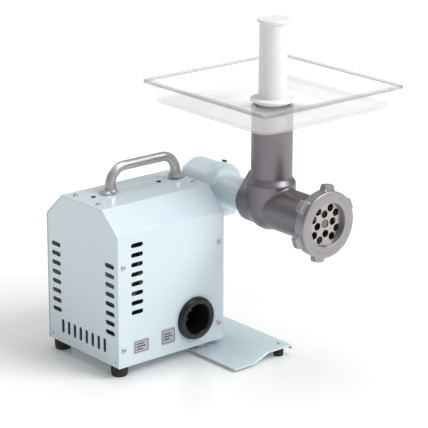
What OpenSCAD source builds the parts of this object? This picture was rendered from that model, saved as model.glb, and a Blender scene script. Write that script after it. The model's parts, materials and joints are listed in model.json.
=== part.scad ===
// Electric meat grinder: a sheet metal motor cabinet with a worm gearbox at
// its drive end, a cast mincing head, a clear tray and a pusher.
// X runs along the cabinet towards the gearbox, -Y is the outlet side, +Z is up.
// The origin is the middle of the whole outline, on the table.

/* [Cabinet] */
// Cabinet length, along X
case_l = 201; // [180:1:260]
// Cabinet width, along Y
case_w = 174.5; // [160:0.5:210]
// Cabinet height, without its feet
case_h = 237; // [225:1:290]
// Height of the near feet
foot_h = 17.6; // [14:0.2:24]
// Sheet thickness of the covers and panels
sheet = 1.2; // [0.8:0.1:2]
// Front slope, its run along Y
front_slope_w = 37; // [20:1:45]
// Front slope, its rise
front_slope_h = 34; // [20:1:45]
// Rear slope, its run along Y
rear_slope_w = 40; // [20:1:45]
// Rear slope, its rise
rear_slope_h = 37; // [20:1:45]
// Where the two covers meet on the top
seam_y = 76; // [60:1:84]
// Length of a ventilation slot
slot_l = 22; // [14:1:24]
// Width of a ventilation slot
slot_w = 7; // [4:0.5:8]
// Step from one slot to the next
slot_step = 14.8; // [12:0.1:16]
// Slots in one column
slot_count = 8; // [4:1:8]

/* [Handle] */
// Distance between the handle's feet
handle_span = 136; // [110:1:140]
// Height of the grip's top above the cabinet
handle_h = 45.5; // [40:0.5:60]
// Diameter of the grip
handle_d = 14.6; // [12:0.2:18]

/* [Inlet] */
// Outer radius of the inlet's bezel
inlet_r = 33.5; // [28:0.5:36]
// Inner radius of the inlet's cup
cup_r = 21.5; // [18:0.5:23]
// Depth of the inlet's cup
cup_depth = 34; // [28:1:40]

/* [Drive] */
// Height of the mincing axis above the table
axis_z = 235; // [228:1:260]
// Gear module of worm and wheel
gear_module = 2; // [1.8:0.05:2.1]
// Teeth on the worm wheel
wheel_teeth = 28; // [24:1:30]
// Pitch radius of the worm
worm_r = 10; // [9:0.25:11]
// Width of the worm wheel
wheel_w = 16; // [12:1:18]
// Outer radius of the motor
motor_r = 50; // [44:1:51]
// Length of the stator stack
stator_l = 70; // [50:1:74]
// Radius of the motor shaft
shaft_r = 6; // [5:0.5:6.5]
// Radius of the output shaft
output_r = 10; // [9:0.25:11]
// Outer radius of the gearbox neck
neck_r = 25; // [23:0.5:28]
// Radius of the head's spigot
spigot_r = 18; // [16:0.5:19]

/* [Mincing head] */
// Inner radius of the barrel
barrel_r = 27; // [24:0.5:29]
// Wall of the barrel
barrel_wall = 6; // [4.5:0.5:7]
// Outer radius of the throat
throat_r = 31; // [28:0.5:33]
// Wall of the throat
throat_wall = 5; // [4:0.5:6]
// Distance of the throat in front of the cabinet's front face
throat_y = 56; // [54:1:66]
// Height of the throat's mouth above the table
throat_top = 389; // [360:1:420]
// Radius of the hole plate
plate_r = 35; // [34:0.5:36]
// Thickness of the hole plate
plate_t = 9.7; // [8:0.1:11]
// Radius of the plate's holes
hole_r = 5.8; // [3:0.1:6]
// Outer radius of the ring nut
nut_r = 50; // [49:0.5:56]
// Depth of the ring nut
nut_depth = 19; // [18:0.5:30]
// Radius of the ring nut's opening
outlet_r = 33; // [30:0.5:33.5]
// Thickness of the ring nut's lip
lip_t = 8; // [5:0.5:10]
// Pitch of the feed screw
feed_lead = 40; // [30:1:48]

/* [Tray and pusher] */
// Tray length, along X
tray_l = 272; // [220:1:300]
// Tray width, along Y
tray_w = 271; // [220:1:300]
// Tray depth
tray_d = 35; // [25:1:45]
// Width of the tray's rim
rim_w = 4; // [3:1:14]
// Radius of the pusher's shaft
pusher_r = 21; // [18:0.5:22]
// Height of the pusher's top above the table
pusher_top = 519; // [470:1:560]

/* [Fits] */
// Radial clearance of a running shaft
run_fit = 0.05; // [0.02:0.01:0.1]
// Clearance between pieces that turn or slide past each other
part_gap = 0.4; // [0.3:0.05:0.8]
// Radial gap around a screw in its hole
screw_gap = 0.2; // [0.1:0.05:0.4]

/* [Hidden] */
$fn = 64;

// Cabinet heights and the groove that shows round each end panel
case_z = foot_h;
case_top = foot_h + case_h;
seam_gap = 0.6;
edge_groove = 0.7;
panel_inset = 0.8;
fold = 12;
base_t = 1.5;
base_top = case_z + base_t;
panel_in = panel_inset + sheet;

// Screw sizes
screw_r = 1.9;
head_r = 4;
screw_head_h = 2.2;
screw_x = panel_in + 7.4;
side_screw_z = [case_z + 28, case_z + 156];
top_screw_y = [seam_y - 16, seam_y + 40];

// Handle
handle_y = seam_y + 18.5;
handle_x = 54;
leg_in = 6;
bend_r = 26;
pad_l = 22;
pad_w = 18;
pad_t = 4.5;

// Inlet
inlet_x = 145;
inlet_z = case_z + 46;
bead = (inlet_r - cup_r) / 2;
bezel_base = 2;
cup_wall = 5;
pin_circle = 9;
pin_r = 2.4;
pin_l = 14;

// Blank plates on the front cover: their places, lengths and heights
label_plates = [[93, case_z + 29.7, 26, 24], [42, case_z + 27.1, 28, 20]];

// Switch on the rear cover
switch_x = 60;
switch_z = case_z + 52;
switch_l = 32;
switch_w = 24;
switch_rim = 3;
switch_out = 5;
rocker_tilt = 9;
rocker_t = 9;
pivot_r = 1.8;
pivot_reach = 1.2;

// Drive train
mesh_y = case_w / 2;
wheel_r = gear_module * wheel_teeth / 2;
worm_z = axis_z - wheel_r - worm_r;
lead = PI * gear_module;
lead_angle = atan(lead / (2 * PI * worm_r));
addendum = gear_module;
dedendum = 1.3 * gear_module;
cavity_r = wheel_r + addendum + 1;
drum_r = cavity_r + 6;
disc_r = drum_r + 2.5;
head_gap = 5.5;
head_x = case_l + disc_r + head_gap;
disc_front = 55;
disc_back = 62;
neck_front = -7;
worm_tip = worm_r + addendum;
worm_bore_r = worm_tip + 1 + run_fit;
tube_r = worm_bore_r + 7;
drum_back = mesh_y + tube_r + 0.7;
cover_t = 10;
cover_r = drum_r - 0.5;
cover_screw_circle = cavity_r + 2.7;
plug_turn = 13;
plug_y = disc_back + 0.5;
worm_l = 44;
// Turns the worm so that a gap of its thread meets the wheel's lowest tooth
worm_phase = -180 * worm_l / lead;
worm_flange_r = tube_r + 10;
worm_flange_t = 6;
flange_screw_circle = tube_r + 5.5;
tube_end = head_x + 37;
bearing_w = 10;

// Output shaft
tang = 10;
tang_l = 12;
tang_gap = 0.2;
spigot_l = 40;
spigot_back = neck_front + spigot_l;
socket_r = output_r + 2;
socket_front = spigot_back + 1.3;
seat_front = socket_front + 14;
output_bearing_r = output_r + 9;
output_bearing_w = 12;
seal_r = socket_r + 2;
wheel_front = mesh_y - wheel_w / 2;
wheel_back = mesh_y + wheel_w / 2;
rear_seat = wheel_back + 6.75;

// Motor
motor_x = 48;
bell_l = 30;
bell_t = 6;
bell_wall = 6;
stator_x = motor_x + bell_l;
stator_end = stator_x + stator_l;
motor_end = stator_end + bell_l;
stator_bore = motor_r * 0.6;
air_gap = 0.5;
motor_bearing_r = shaft_r + 10;
foot_drop = 5;
stand_top = worm_z - motor_r - foot_drop;
stand_t = 3;
stand_w = 60;
bolt_circle = motor_r - bell_wall / 2;
bolt_r = 2;
collar_r = shaft_r + 2.5;

// Mincing head
head_back = neck_front;
flange_t = 8;
bore_back = head_back - 13;
barrel_out = barrel_r + barrel_wall;
belly_r = throat_r + 5.5;
shoulder_z = 40;
shoulder_h = 6;
teardrop_r = 29;
tip_z = 44;
tip_r = 3;
nut_face = -181;
plate_front = nut_face + lip_t;
plate_back = plate_front + plate_t;
recess = 7;
barrel_end = plate_back - recess;
thread_r = plate_r + 6.7;
thread_l = 11;
flare_l = 8;
nut_bore_r = thread_r + part_gap;
nut_bore_end = barrel_end - 1.5;
nut_back = nut_face + nut_depth;
lug_count = 6;
lug_turn = 21;
lug_r = nut_r + 8;
knife_t = 6.3;
knife_front = plate_back + 0.1;
knife_back = knife_front + knife_t;
stud_square = 11;
stud_r = 5;
stud_in = 0.5;
feed_r = barrel_r - 0.8;
core_r = 13;
spindle_r = 9;
washer_t = 1.4;
feed_back = bore_back - washer_t - 0.6;
flight_back = feed_back - 3;
key_r = 2;

// Tray and pusher
tray_t = 3;
tray_floor = throat_top + tray_t;
tray_draft = 5;
corner_r = 20;
rim_corner_r = 4;
spout_r = throat_r - throat_wall - part_gap;
spout_wall = 2;
spout_l = 15;
collar_h = 4.5;
flange_h = 4;
knob_r = pusher_r + 3.5;
knob_h = 4.5;
pusher_bottom = axis_z + barrel_r + 38;

// Support bracket
bracket_t = 2.5;
bracket_floor = 4;
bracket_x = 150;
slope_x = 188;
strip_x = case_l + 15;
strip_end = strip_x + 46;
strip_z = case_z - bracket_t;
bracket_front = -88;
bracket_back = case_w - 24;
bracket_foot_x = bracket_x + 20;
spacer_r = 9;
foot_r = 12.8;
foot_inset_x = 15;
foot_y = [18.6, case_w - 14.5];
near_foot_places = [for (y = foot_y) [foot_inset_x, y]];
// The bracket's rear foot stands further in, because the bracket ends before the cabinet does
bracket_foot_places = [[bracket_foot_x, foot_y[0]], [bracket_foot_x, bracket_back - 8.5]];
front_foot = [strip_x + 32, bracket_front + 14];

// Middle of the outline, used as the origin
x_max = head_x + tray_l / 2;
y_min = min(-throat_y - tray_w / 2, nut_face);
y_max = case_w + switch_out;
origin_x = x_max / 2;
origin_y = (y_min + y_max) / 2;

// Routes of the two leads between the inlet and the motor
earth_route = [[138, 39, 58], [114, 39, 64], [88, 28, 84], [62, 12, 100], [38, 10, 103], [22, 10, 114],
               [26, 10, 134], [47, 10, 154], [60, 18, 170], [60, 33, 184]];
supply_route = [[142, 40, 72], [116, 46, 80], [92, 37, 78], [64, 22, 84], [40, 19, 88], [20, 19, 98],
                [24, 18, 110], [47, 17, 125], [62, 23, 140], [66, 36, 160]];
lead_r = 1.6;

function unit(v) = v / norm(v);
function spline(p, i, t) =
    let (a = p[max(i - 1, 0)], b = p[i], c = p[i + 1], d = p[min(i + 2, len(p) - 1)])
    0.5 * (2 * b + (c - a) * t + (2 * a - 5 * b + 4 * c - d) * t * t
           + (3 * b - a - 3 * c + d) * t * t * t);
function route_points(p, n) =
    concat([for (i = [0:len(p) - 2]) for (k = [0:n - 1]) spline(p, i, k / n)], [p[len(p) - 1]]);
// Height of a flank that stands full over w1 degrees and is gone at w2 degrees
function flank(a, w1, w2) = max(0, min(1, (w2 / 2 - abs(a)) / ((w2 - w1) / 2)));
function turn_diff(a) = a > 180 ? a - 360 : a;

module at_head() { translate([head_x, 0, axis_z]) children(); }
module at_worm() { translate([0, mesh_y, worm_z]) children(); }
module at_throat() { translate([head_x, -throat_y, 0]) children(); }
module y_rod(y0, y1, r, r_end = -1) {
    translate([0, y0, 0]) rotate([-90, 0, 0]) cylinder(h = y1 - y0, r1 = r, r2 = r_end < 0 ? r : r_end);
}
module x_rod(x0, x1, r, r_end = -1) {
    translate([x0, 0, 0]) rotate([0, 90, 0]) cylinder(h = x1 - x0, r1 = r, r2 = r_end < 0 ? r : r_end);
}
module z_rod(z0, z1, r, r_end = -1) {
    translate([0, 0, z0]) cylinder(h = z1 - z0, r1 = r, r2 = r_end < 0 ? r : r_end);
}
module y_ring(y0, y1, ro, ri) {
    difference() { y_rod(y0, y1, ro); y_rod(y0 - 1, y1 + 1, ri); }
}
module x_ring(x0, x1, ro, ri) {
    difference() { x_rod(x0, x1, ro); x_rod(x0 - 1, x1 + 1, ri); }
}
module z_ring(z0, z1, ro, ri) {
    difference() { z_rod(z0, z1, ro); z_rod(z0 - 1, z1 + 1, ri); }
}
module box_between(a, b) { translate(a) cube(b - a); }
module yz_extrude(x0, x1) { translate([x0, 0, 0]) rotate([90, 0, 90]) linear_extrude(x1 - x0) children(); }
module xz_extrude(y0, y1) { translate([0, y1, 0]) rotate([90, 0, 0]) linear_extrude(y1 - y0) children(); }
// Moves a piece from the cabinet's corner to the part's own origin
module place() { translate([-origin_x, -origin_y, 0]) children(); }

// A flat slot with round ends, along its own X
module slot_shape() {
    square([slot_l - slot_w, slot_w], center = true);
    for (s = [-1, 1]) translate([s * (slot_l - slot_w) / 2, 0]) circle(d = slot_w);
}
// A circle with a smaller one above it, joined by their common tangents
module teardrop_shape(r, r_top, rise) {
    a = acos((r - r_top) / rise);
    circle(r);
    translate([0, rise]) circle(r_top);
    polygon([[r * sin(a), r * cos(a)], [r_top * sin(a), rise + r_top * cos(a)],
             [-r_top * sin(a), rise + r_top * cos(a)], [-r * sin(a), r * cos(a)]]);
}
module round_box_shape(l, w, r) {
    square([l - 2 * r, w], center = true);
    square([l, w - 2 * r], center = true);
    for (i = [-1, 1], j = [-1, 1]) translate([i * (l / 2 - r), j * (w / 2 - r)]) circle(r);
}
// The cabinet's section across its length, moved in by s on all sides but the bottom
module case_section(s, bottom = 0) {
    fc = norm([front_slope_w, front_slope_h]);
    rc = norm([rear_slope_w, rear_slope_h]);
    fz = case_top - front_slope_h + s * (front_slope_h - fc) / front_slope_w;
    fy = front_slope_w + s * (fc - front_slope_w) / front_slope_h;
    rz = case_top - rear_slope_h + s * (rear_slope_h - rc) / rear_slope_w;
    ry = case_w - rear_slope_w - s * (rc - rear_slope_w) / rear_slope_h;
    z0 = case_z + bottom;
    polygon([[s, z0], [s, fz], [fy, case_top - s], [ry, case_top - s], [case_w - s, rz], [case_w - s, z0]]);
}
// A pan head screw along -Z from the surface at z = 0, with a cross in its head
module pan_screw(length, r = screw_r, hr = head_r, hh = screw_head_h) {
    difference() {
        union() {
            z_rod(0, hh * 0.5, hr);
            z_rod(hh * 0.5, hh, hr, hr * 0.72);
            z_rod(-length, 0, r);
        }
        for (a = [0, 90]) rotate([0, 0, a]) translate([0, 0, hh]) cube([hr * 1.1, 0.9, hh], center = true);
    }
}
module screw_on_front(p) { translate([p[0], 0, p[1]]) rotate([90, 0, 0]) children(); }
module screw_on_rear(p) { translate([p[0], case_w, p[1]]) rotate([-90, 0, 0]) children(); }
module screw_on_top(p) { translate([p[0], p[1], case_top]) children(); }
// A bearing: two rings with a shield set back between them
module bearing(ri, ro, w) {
    rim = (ro - ri) * 0.28;
    difference() {
        rotate_extrude() translate([ri, 0]) square([ro - ri, w]);
        for (z = [-1, w - 0.6]) translate([0, 0, z]) z_ring(0, 1.6, ro - rim, ri + rim);
    }
}
// A round lead swept along a route
module lead(route, r, sides = 8) {
    p = route_points(route, 4);
    n = len(p);
    up = unit([0.2, 1, 0.3]);
    rings = [for (i = [0:n - 1])
        let (t = unit(p[min(i + 1, n - 1)] - p[max(i - 1, 0)]), u = unit(cross(up, t)), v = cross(t, u))
        for (j = [0:sides - 1]) p[i] + r * (cos(360 * j / sides) * u + sin(360 * j / sides) * v)];
    faces = concat(
        [for (i = [0:n - 2]) for (j = [0:sides - 1])
            let (k = (j + 1) % sides)
            [i * sides + j, (i + 1) * sides + j, (i + 1) * sides + k, i * sides + k]],
        [[for (j = [0:sides - 1]) j]], [[for (j = [sides - 1:-1:0]) (n - 1) * sides + j]]);
    polyhedron(rings, faces);
}

side_screws = [for (z = side_screw_z, x = [screw_x, case_l - screw_x]) [x, z]];
front_top_screws = [for (x = [screw_x + 2, case_l - screw_x]) [x, top_screw_y[0]]];
rear_top_screws = [for (x = [screw_x + 2, case_l - screw_x]) [x, top_screw_y[1]]];
plug_holes = [[28.5, handle_y], [152, handle_y]];
handle_feet = [handle_x, handle_x + handle_span];
plug_r = 3.6;

module cover_shell() {
    yz_extrude(0, case_l) difference() {
        case_section(0);
        for (drop = [0, 1]) translate([0, -drop]) case_section(sheet);
    }
}
module front_cover() {
    color([0.85, 0.91, 0.94]) place() difference() {
        intersection() {
            cover_shell();
            box_between([-1, -1, 0], [case_l + 1, seam_y - seam_gap / 2, case_top + 1]);
        }
        for (i = [0:slot_count - 1])
            translate([35.3, -1, case_z + 185.7 - i * slot_step]) rotate([-90, 0, 0])
                linear_extrude(sheet + 2) slot_shape();
        translate([inlet_x, 0, inlet_z]) y_rod(-1, sheet + 1, cup_r + cup_wall + screw_gap);
        for (p = side_screws) screw_on_front(p) z_rod(-sheet - 1, 1, screw_r + screw_gap);
        for (p = front_top_screws) screw_on_top(p) z_rod(-sheet - 1, 1, screw_r + screw_gap);
    }
}
module rear_cover() {
    color([0.85, 0.91, 0.94]) place() difference() {
        intersection() {
            cover_shell();
            box_between([-1, seam_y + seam_gap / 2, 0], [case_l + 1, case_w + 1, case_top + 1]);
        }
        for (i = [0:slot_count - 1])
            translate([case_l - 35.3, case_w - sheet - 1, case_z + 185.7 - i * slot_step]) rotate([-90, 0, 0])
                linear_extrude(sheet + 2) slot_shape();
        translate([switch_x, 0, switch_z])
            box_between([-switch_w / 2 + 1.5, case_w - 5, -switch_l / 2 + 1.5],
                        [switch_w / 2 - 1.5, case_w + 1, switch_l / 2 - 1.5]);
        for (p = side_screws) screw_on_rear(p) z_rod(-sheet - 1, 1, screw_r + screw_gap);
        for (p = rear_top_screws) screw_on_top(p) z_rod(-sheet - 1, 1, screw_r + screw_gap);
        for (p = plug_holes) screw_on_top(p) z_rod(-sheet - 1, 1, plug_r - 0.8);
        for (x = handle_feet) screw_on_top([x, handle_y]) z_rod(-sheet - 1, 1, screw_r + screw_gap);
    }
}
// A panel with a folded edge on three sides, its face at x = 0 and its fold towards +X
module panel_blank() {
    yz_extrude(0, sheet) case_section(sheet + edge_groove);
    yz_extrude(sheet, sheet + fold) difference() {
        case_section(sheet, base_t);
        translate([0, -2 * sheet]) case_section(2 * sheet);
        case_section(2 * sheet);
    }
    yz_extrude(sheet - 0.3, sheet + 0.5) difference() {
        case_section(sheet, base_t);
        case_section(3 * sheet);
    }
}
module fold_holes() {
    for (p = side_screws) {
        screw_on_front(p) z_rod(-4 * sheet, 1, screw_r + screw_gap);
        screw_on_rear(p) z_rod(-4 * sheet, 1, screw_r + screw_gap);
    }
    for (p = concat(front_top_screws, rear_top_screws))
        screw_on_top(p) z_rod(-4 * sheet, 1, screw_r + screw_gap);
    // Room for the handle's screws, whose heads are under the top
    for (x = handle_feet) screw_on_top([x, handle_y])
        z_rod(-sheet - screw_head_h - fold, 1, head_r + screw_gap);
}
module end_panel() {
    slot_y = [21.3, case_w - 21.7];
    row_y = case_w / 2 - (slot_count - 1) / 2 * slot_step;
    color([0.73, 0.78, 0.81]) place() difference() {
        translate([panel_inset, 0, 0]) panel_blank();
        for (i = [0:slot_count - 1]) {
            for (y = slot_y) translate([-1, y, case_z + 155 - i * slot_step])
                rotate([90, 0, 90]) linear_extrude(panel_in + 2) slot_shape();
            translate([-1, row_y + i * slot_step, case_z + 27.4])
                rotate([90, 0, 90]) linear_extrude(panel_in + 2) rotate(90) slot_shape();
        }
        for (y = [9, case_w - 9]) translate([0, y, case_z + 8]) x_rod(-1, panel_in + 1, 1.6);
        fold_holes();
    }
}
module drive_end_panel() {
    color([0.80, 0.86, 0.90]) place() difference() {
        translate([case_l - panel_inset, 0, 0]) mirror([1, 0, 0]) panel_blank();
        at_worm() x_rod(case_l - 20, case_l + 1, tube_r - 4);
        at_worm() for (a = [45:90:315]) rotate([a, 0, 0]) translate([0, flange_screw_circle, 0])
            x_rod(case_l - 20, case_l + 1, screw_r + screw_gap);
        fold_holes();
    }
}
module base_plate() {
    side_x = [panel_in + fold, case_l - panel_in - fold];
    color([0.75, 0.80, 0.84]) place() difference() {
        union() {
            box_between([panel_in, sheet, case_z], [case_l - panel_in, case_w - sheet, base_top]);
            for (y = [sheet, case_w - 2 * sheet])
                box_between([side_x[0], y, base_top - 0.5], [side_x[1], y + sheet, base_top + 14]);
        }
        for (p = concat(near_foot_places, bracket_foot_places)) translate([p[0], p[1], 0])
            z_rod(case_z - 1, base_top + 1, screw_r + screw_gap);
    }
}
module bracket_section() {
    c = bracket_floor;
    t = bracket_t;
    run = strip_x - slope_x;
    rise = strip_z - c;
    // Shifts along X that keep the sloped wall as thick as the flats
    k = t * (norm([run, rise]) - run) / rise;
    polygon([[bracket_x, c], [slope_x, c], [strip_x, strip_z], [strip_end, strip_z], [strip_end, strip_z - 6],
             [strip_end + t, strip_z - 6], [strip_end + t, strip_z + t], [strip_x - k, strip_z + t],
             [slope_x - k, c + t], [bracket_x, c + t]]);
}
module support_bracket() {
    color([0.85, 0.91, 0.94]) place() difference() {
        xz_extrude(bracket_front, bracket_back) bracket_section();
        for (p = bracket_foot_places) translate([p[0], p[1], 0]) z_rod(0, strip_z, screw_r + screw_gap);
        translate([front_foot[0], front_foot[1], 0]) z_rod(strip_z - 1, case_z + 1, screw_r + screw_gap);
    }
}
module bracket_spacers() {
    color([0.6, 0.6, 0.6]) place() for (p = bracket_foot_places) translate([p[0], p[1], 0])
        z_ring(bracket_floor + bracket_t, case_z, spacer_r, screw_r + screw_gap);
}
// A rubber foot with a sunk hole for its screw
module foot(h, r) {
    sink = min(h * 0.55, 8);
    difference() {
        union() {
            z_rod(0, h * 0.3, r * 0.9, r);
            z_rod(h * 0.3, h, r);
        }
        z_rod(-1, h + 1, screw_r + screw_gap);
        z_rod(-1, sink, head_r + 0.5);
    }
}
module near_feet() {
    color([0.08, 0.08, 0.08]) place() for (p = near_foot_places) translate([p[0], p[1], 0])
        foot(case_z, foot_r);
}
module bracket_feet() {
    color([0.08, 0.08, 0.08]) place() {
        for (p = bracket_foot_places) translate([p[0], p[1], 0]) foot(bracket_floor, foot_r);
        translate([front_foot[0], front_foot[1], 0]) foot(strip_z, 8);
    }
}
module foot_screws() {
    near_sink = min(case_z * 0.55, 8);
    front_sink = min(strip_z * 0.55, 8);
    thin_sink = min(bracket_floor * 0.55, 8);
    color([0.7, 0.7, 0.72]) place() {
        for (p = near_foot_places) translate([p[0], p[1], near_sink]) mirror([0, 0, 1])
            pan_screw(base_top - near_sink + 3);
        for (p = bracket_foot_places) translate([p[0], p[1], thin_sink]) mirror([0, 0, 1])
            pan_screw(base_top - thin_sink + 3, hh = thin_sink - 0.4);
        translate([front_foot[0], front_foot[1], front_sink]) mirror([0, 0, 1])
            pan_screw(strip_z + bracket_t - front_sink + 2);
    }
}

module handle() {
    r = handle_d / 2;
    grip_z = case_top + handle_h - r;
    legs = [handle_feet[0] + leg_in, handle_feet[1] - leg_in];
    color([0.68, 0.66, 0.65]) place() translate([0, handle_y, 0]) difference() {
        union() {
            translate([0, 0, grip_z]) x_rod(legs[0] + bend_r, legs[1] - bend_r, r);
            for (i = [0, 1]) translate([legs[i], 0, 0]) mirror([i, 0, 0]) {
                translate([bend_r, 0, grip_z - bend_r]) mirror([1, 0, 0]) rotate([90, 0, 0])
                    rotate_extrude(angle = 90) translate([bend_r, 0]) circle(r);
                z_rod(case_top + pad_t - 1, grip_z - bend_r, r);
                z_rod(case_top + pad_t, case_top + pad_t + 6, r + 2.4, r);
            }
            for (x = handle_feet) translate([x, 0, case_top]) linear_extrude(pad_t)
                round_box_shape(pad_l, pad_w, 7);
        }
        for (x = handle_feet) translate([x, 0, 0]) z_rod(case_top - 1, case_top + 9, screw_r + run_fit);
    }
}
module handle_screws() {
    color([0.7, 0.7, 0.72]) place() for (x = handle_feet)
        translate([x, handle_y, case_top - sheet]) mirror([0, 0, 1]) pan_screw(sheet + 8);
}
module front_screws() {
    color([0.7, 0.7, 0.72]) place() {
        for (p = side_screws) screw_on_front(p) pan_screw(7);
        for (p = front_top_screws) screw_on_top(p) pan_screw(7);
    }
}
module rear_screws() {
    color([0.7, 0.7, 0.72]) place() {
        for (p = side_screws) screw_on_rear(p) pan_screw(7);
        for (p = rear_top_screws) screw_on_top(p) pan_screw(7);
    }
}
module hole_plugs() {
    color([0.15, 0.15, 0.16]) place() for (p = plug_holes) screw_on_top(p) {
        z_rod(0, 0.8, plug_r);
        z_rod(-4, 0.4, plug_r - 1);
    }
}

module inlet_bezel() {
    color([0.08, 0.08, 0.09]) place() translate([inlet_x, 0, inlet_z]) rotate([90, 0, 0])
        rotate_extrude() {
            translate([cup_r, 0]) square([2 * bead, bezel_base]);
            intersection() {
                translate([cup_r + bead, bezel_base]) circle(bead);
                translate([cup_r, bezel_base - 0.1]) square([2 * bead, 2 * bead]);
            }
        }
}
module inlet_cup() {
    color([0.05, 0.05, 0.05]) place() translate([inlet_x, 0, inlet_z]) difference() {
        y_rod(0, cup_depth + 2, cup_r + cup_wall);
        y_rod(-1, cup_depth, cup_r);
    }
}
module inlet_pins() {
    color([0.8, 0.8, 0.8]) place() translate([inlet_x, 0, inlet_z]) {
        for (a = [90:120:330]) rotate([0, a, 0]) translate([pin_circle, 0, 0])
            y_rod(cup_depth - pin_l, cup_depth, pin_r);
    }
}
module switch_frame() {
    // The body behind the panel, and the well that the rocker sits in
    body = [switch_w / 2 - 1.7, switch_l / 2 - 1.7];
    well = [switch_w / 2 - 3, switch_l / 2 - 3];
    color([0.06, 0.06, 0.06]) place() translate([switch_x, case_w, switch_z]) difference() {
        union() {
            xz_extrude(0, switch_out)
                round_box_shape(switch_w + 2 * switch_rim, switch_l + 2 * switch_rim, switch_rim);
            box_between([-body[0], -18, -body[1]], [body[0], 1, body[1]]);
        }
        box_between([-well[0], -14, -well[1]], [well[0], switch_out + 1, well[1]]);
        x_rod(-well[0] - pivot_reach - 0.1, well[0] + pivot_reach + 0.1, pivot_r + run_fit);
    }
}
module switch_rocker() {
    w = switch_w - 6 - 2 * part_gap;
    l = switch_l - 10;
    color([0.5, 0.08, 0.06]) place() translate([switch_x, case_w, switch_z]) {
        rotate([rocker_tilt, 0, 0]) difference() {
            box_between([-w / 2, -rocker_t / 2, -l / 2], [w / 2, rocker_t / 2 - 1.5, l / 2]);
            translate([-w, rocker_t / 2 + 25.5, 0]) x_rod(0, 2 * w, 28);
        }
        for (i = [0, 1]) mirror([i, 0, 0]) x_rod(w / 2 - 1, switch_w / 2 - 3 + pivot_reach, pivot_r);
    }
}
module blank_plates() {
    color([0.72, 0.75, 0.78]) place() for (p = label_plates) translate([p[0], 0, p[1]])
        xz_extrude(-0.6, 0) round_box_shape(p[2], p[3], 2);
}

module motor_stand() {
    leg_x = [motor_x + 12, motor_end - 13];
    color([0.62, 0.64, 0.66]) place() translate([0, mesh_y - stand_w / 2, 0]) {
        box_between([motor_x, 0, stand_top - stand_t], [motor_end, stand_w, stand_top]);
        for (i = [0, 1]) {
            box_between([leg_x[i], 0, base_top], [leg_x[i] + stand_t, stand_w, stand_top - stand_t / 2]);
            box_between([leg_x[i] - (i == 1 ? 16 : 0), 0, base_top],
                        [leg_x[i] + stand_t + (i == 0 ? 16 : 0), stand_w, base_top + stand_t]);
        }
    }
}
// A motor end bell, its outer face at x = 0 and its mouth towards +X
module bell() {
    difference() {
        union() {
            x_rod(0, bell_l, motor_r);
            box_between([0, -20, -motor_r - foot_drop], [12, 20, -motor_r + 8]);
        }
        x_rod(bell_t, bell_l + 1, motor_r - bell_wall);
        x_rod(-1, bell_t + 1, shaft_r + 1);
        x_rod(bell_t / 3, bell_t + 1, motor_bearing_r);
        for (a = [0:60:300]) rotate([a, 0, 0]) translate([0, 0, motor_r * 0.62]) x_rod(-1, bell_t + 1, 7);
        for (a = [45:90:315]) rotate([a, 0, 0]) translate([0, bolt_circle, 0])
            x_rod(-1, bell_l + 1, bolt_r + 0.1);
    }
    x_ring(bell_t / 3, bell_t / 3 + bearing_w, motor_bearing_r + 4, motor_bearing_r);
}
module rear_bell() {
    color([0.7, 0.7, 0.7]) place() at_worm() translate([motor_x, 0, 0]) bell();
}
module front_bell() {
    color([0.7, 0.7, 0.7]) place() at_worm() translate([motor_end, 0, 0]) mirror([1, 0, 0]) bell();
}
module stator_core() {
    color([0.45, 0.46, 0.48]) place() at_worm() difference() {
        x_ring(stator_x, stator_end, motor_r, stator_bore);
        for (a = [45:90:315]) rotate([a, 0, 0]) translate([0, bolt_circle, 0])
            x_rod(stator_x - 1, stator_end + 1, bolt_r + 0.1);
    }
}
module windings() {
    color([0.72, 0.38, 0.16]) place() at_worm() for (x = [stator_x - 15, stator_end])
        x_ring(x, x + 15, motor_r - bell_wall - 2, stator_bore + 2);
}
module motor_bolts() {
    color([0.7, 0.7, 0.72]) place() at_worm() for (a = [45:90:315]) rotate([a, 0, 0])
        translate([0, bolt_circle, 0]) {
        x_rod(motor_x, motor_end + 3, bolt_r);
        translate([motor_x - 3, 0, 0]) rotate([0, 90, 0]) cylinder(h = 3, r = 4, $fn = 6);
        translate([motor_end, 0, 0]) rotate([0, 90, 0]) difference() {
            cylinder(h = 3, r = 4, $fn = 6);
            translate([0, 0, -1]) cylinder(h = 5, r = bolt_r - 0.2);
        }
    }
}
module motor_bearings() {
    color([0.75, 0.75, 0.77]) place() at_worm()
        for (x = [motor_x + bell_t / 3, motor_end - bell_t / 3 - bearing_w])
            translate([x, 0, 0]) rotate([0, 90, 0]) bearing(shaft_r + run_fit, motor_bearing_r, bearing_w);
}
module run_capacitor() {
    color([0.85, 0.85, 0.83]) place() translate([0, case_w - 36, base_top + 23]) {
        x_rod(64, 132, 20);
        x_rod(132, 136, 16);
        for (s = [-1, 1]) box_between([136, 6 * s - 3, -0.4], [144, 6 * s + 3, 0.4]);
    }
}
module capacitor_clip() {
    color([0.6, 0.6, 0.62]) place() translate([0, case_w - 36, base_top + 23]) difference() {
        union() {
            x_rod(90, 106, 21.5);
            box_between([90, -12, -23], [106, 12, -18]);
        }
        x_rod(89, 107, 20);
    }
}
module terminal_block() {
    color([0.9, 0.9, 0.88]) place() translate([90, 22, base_top]) difference() {
        box_between([0, 0, 0], [44, 20, 15]);
        for (i = [0:3]) translate([5.5 + 11 * i, 0, 0]) {
            for (y = [5, 15]) translate([0, y, 0]) z_rod(9, 16, 2.2);
            translate([0, 0, 5]) y_rod(-1, 21, 1.9);
        }
    }
}
module earth_wire() { color([0.75, 0.8, 0.1]) place() lead(earth_route, lead_r); }
module supply_wire() { color([0.9, 0.9, 0.9]) place() lead(supply_route, lead_r); }

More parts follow.
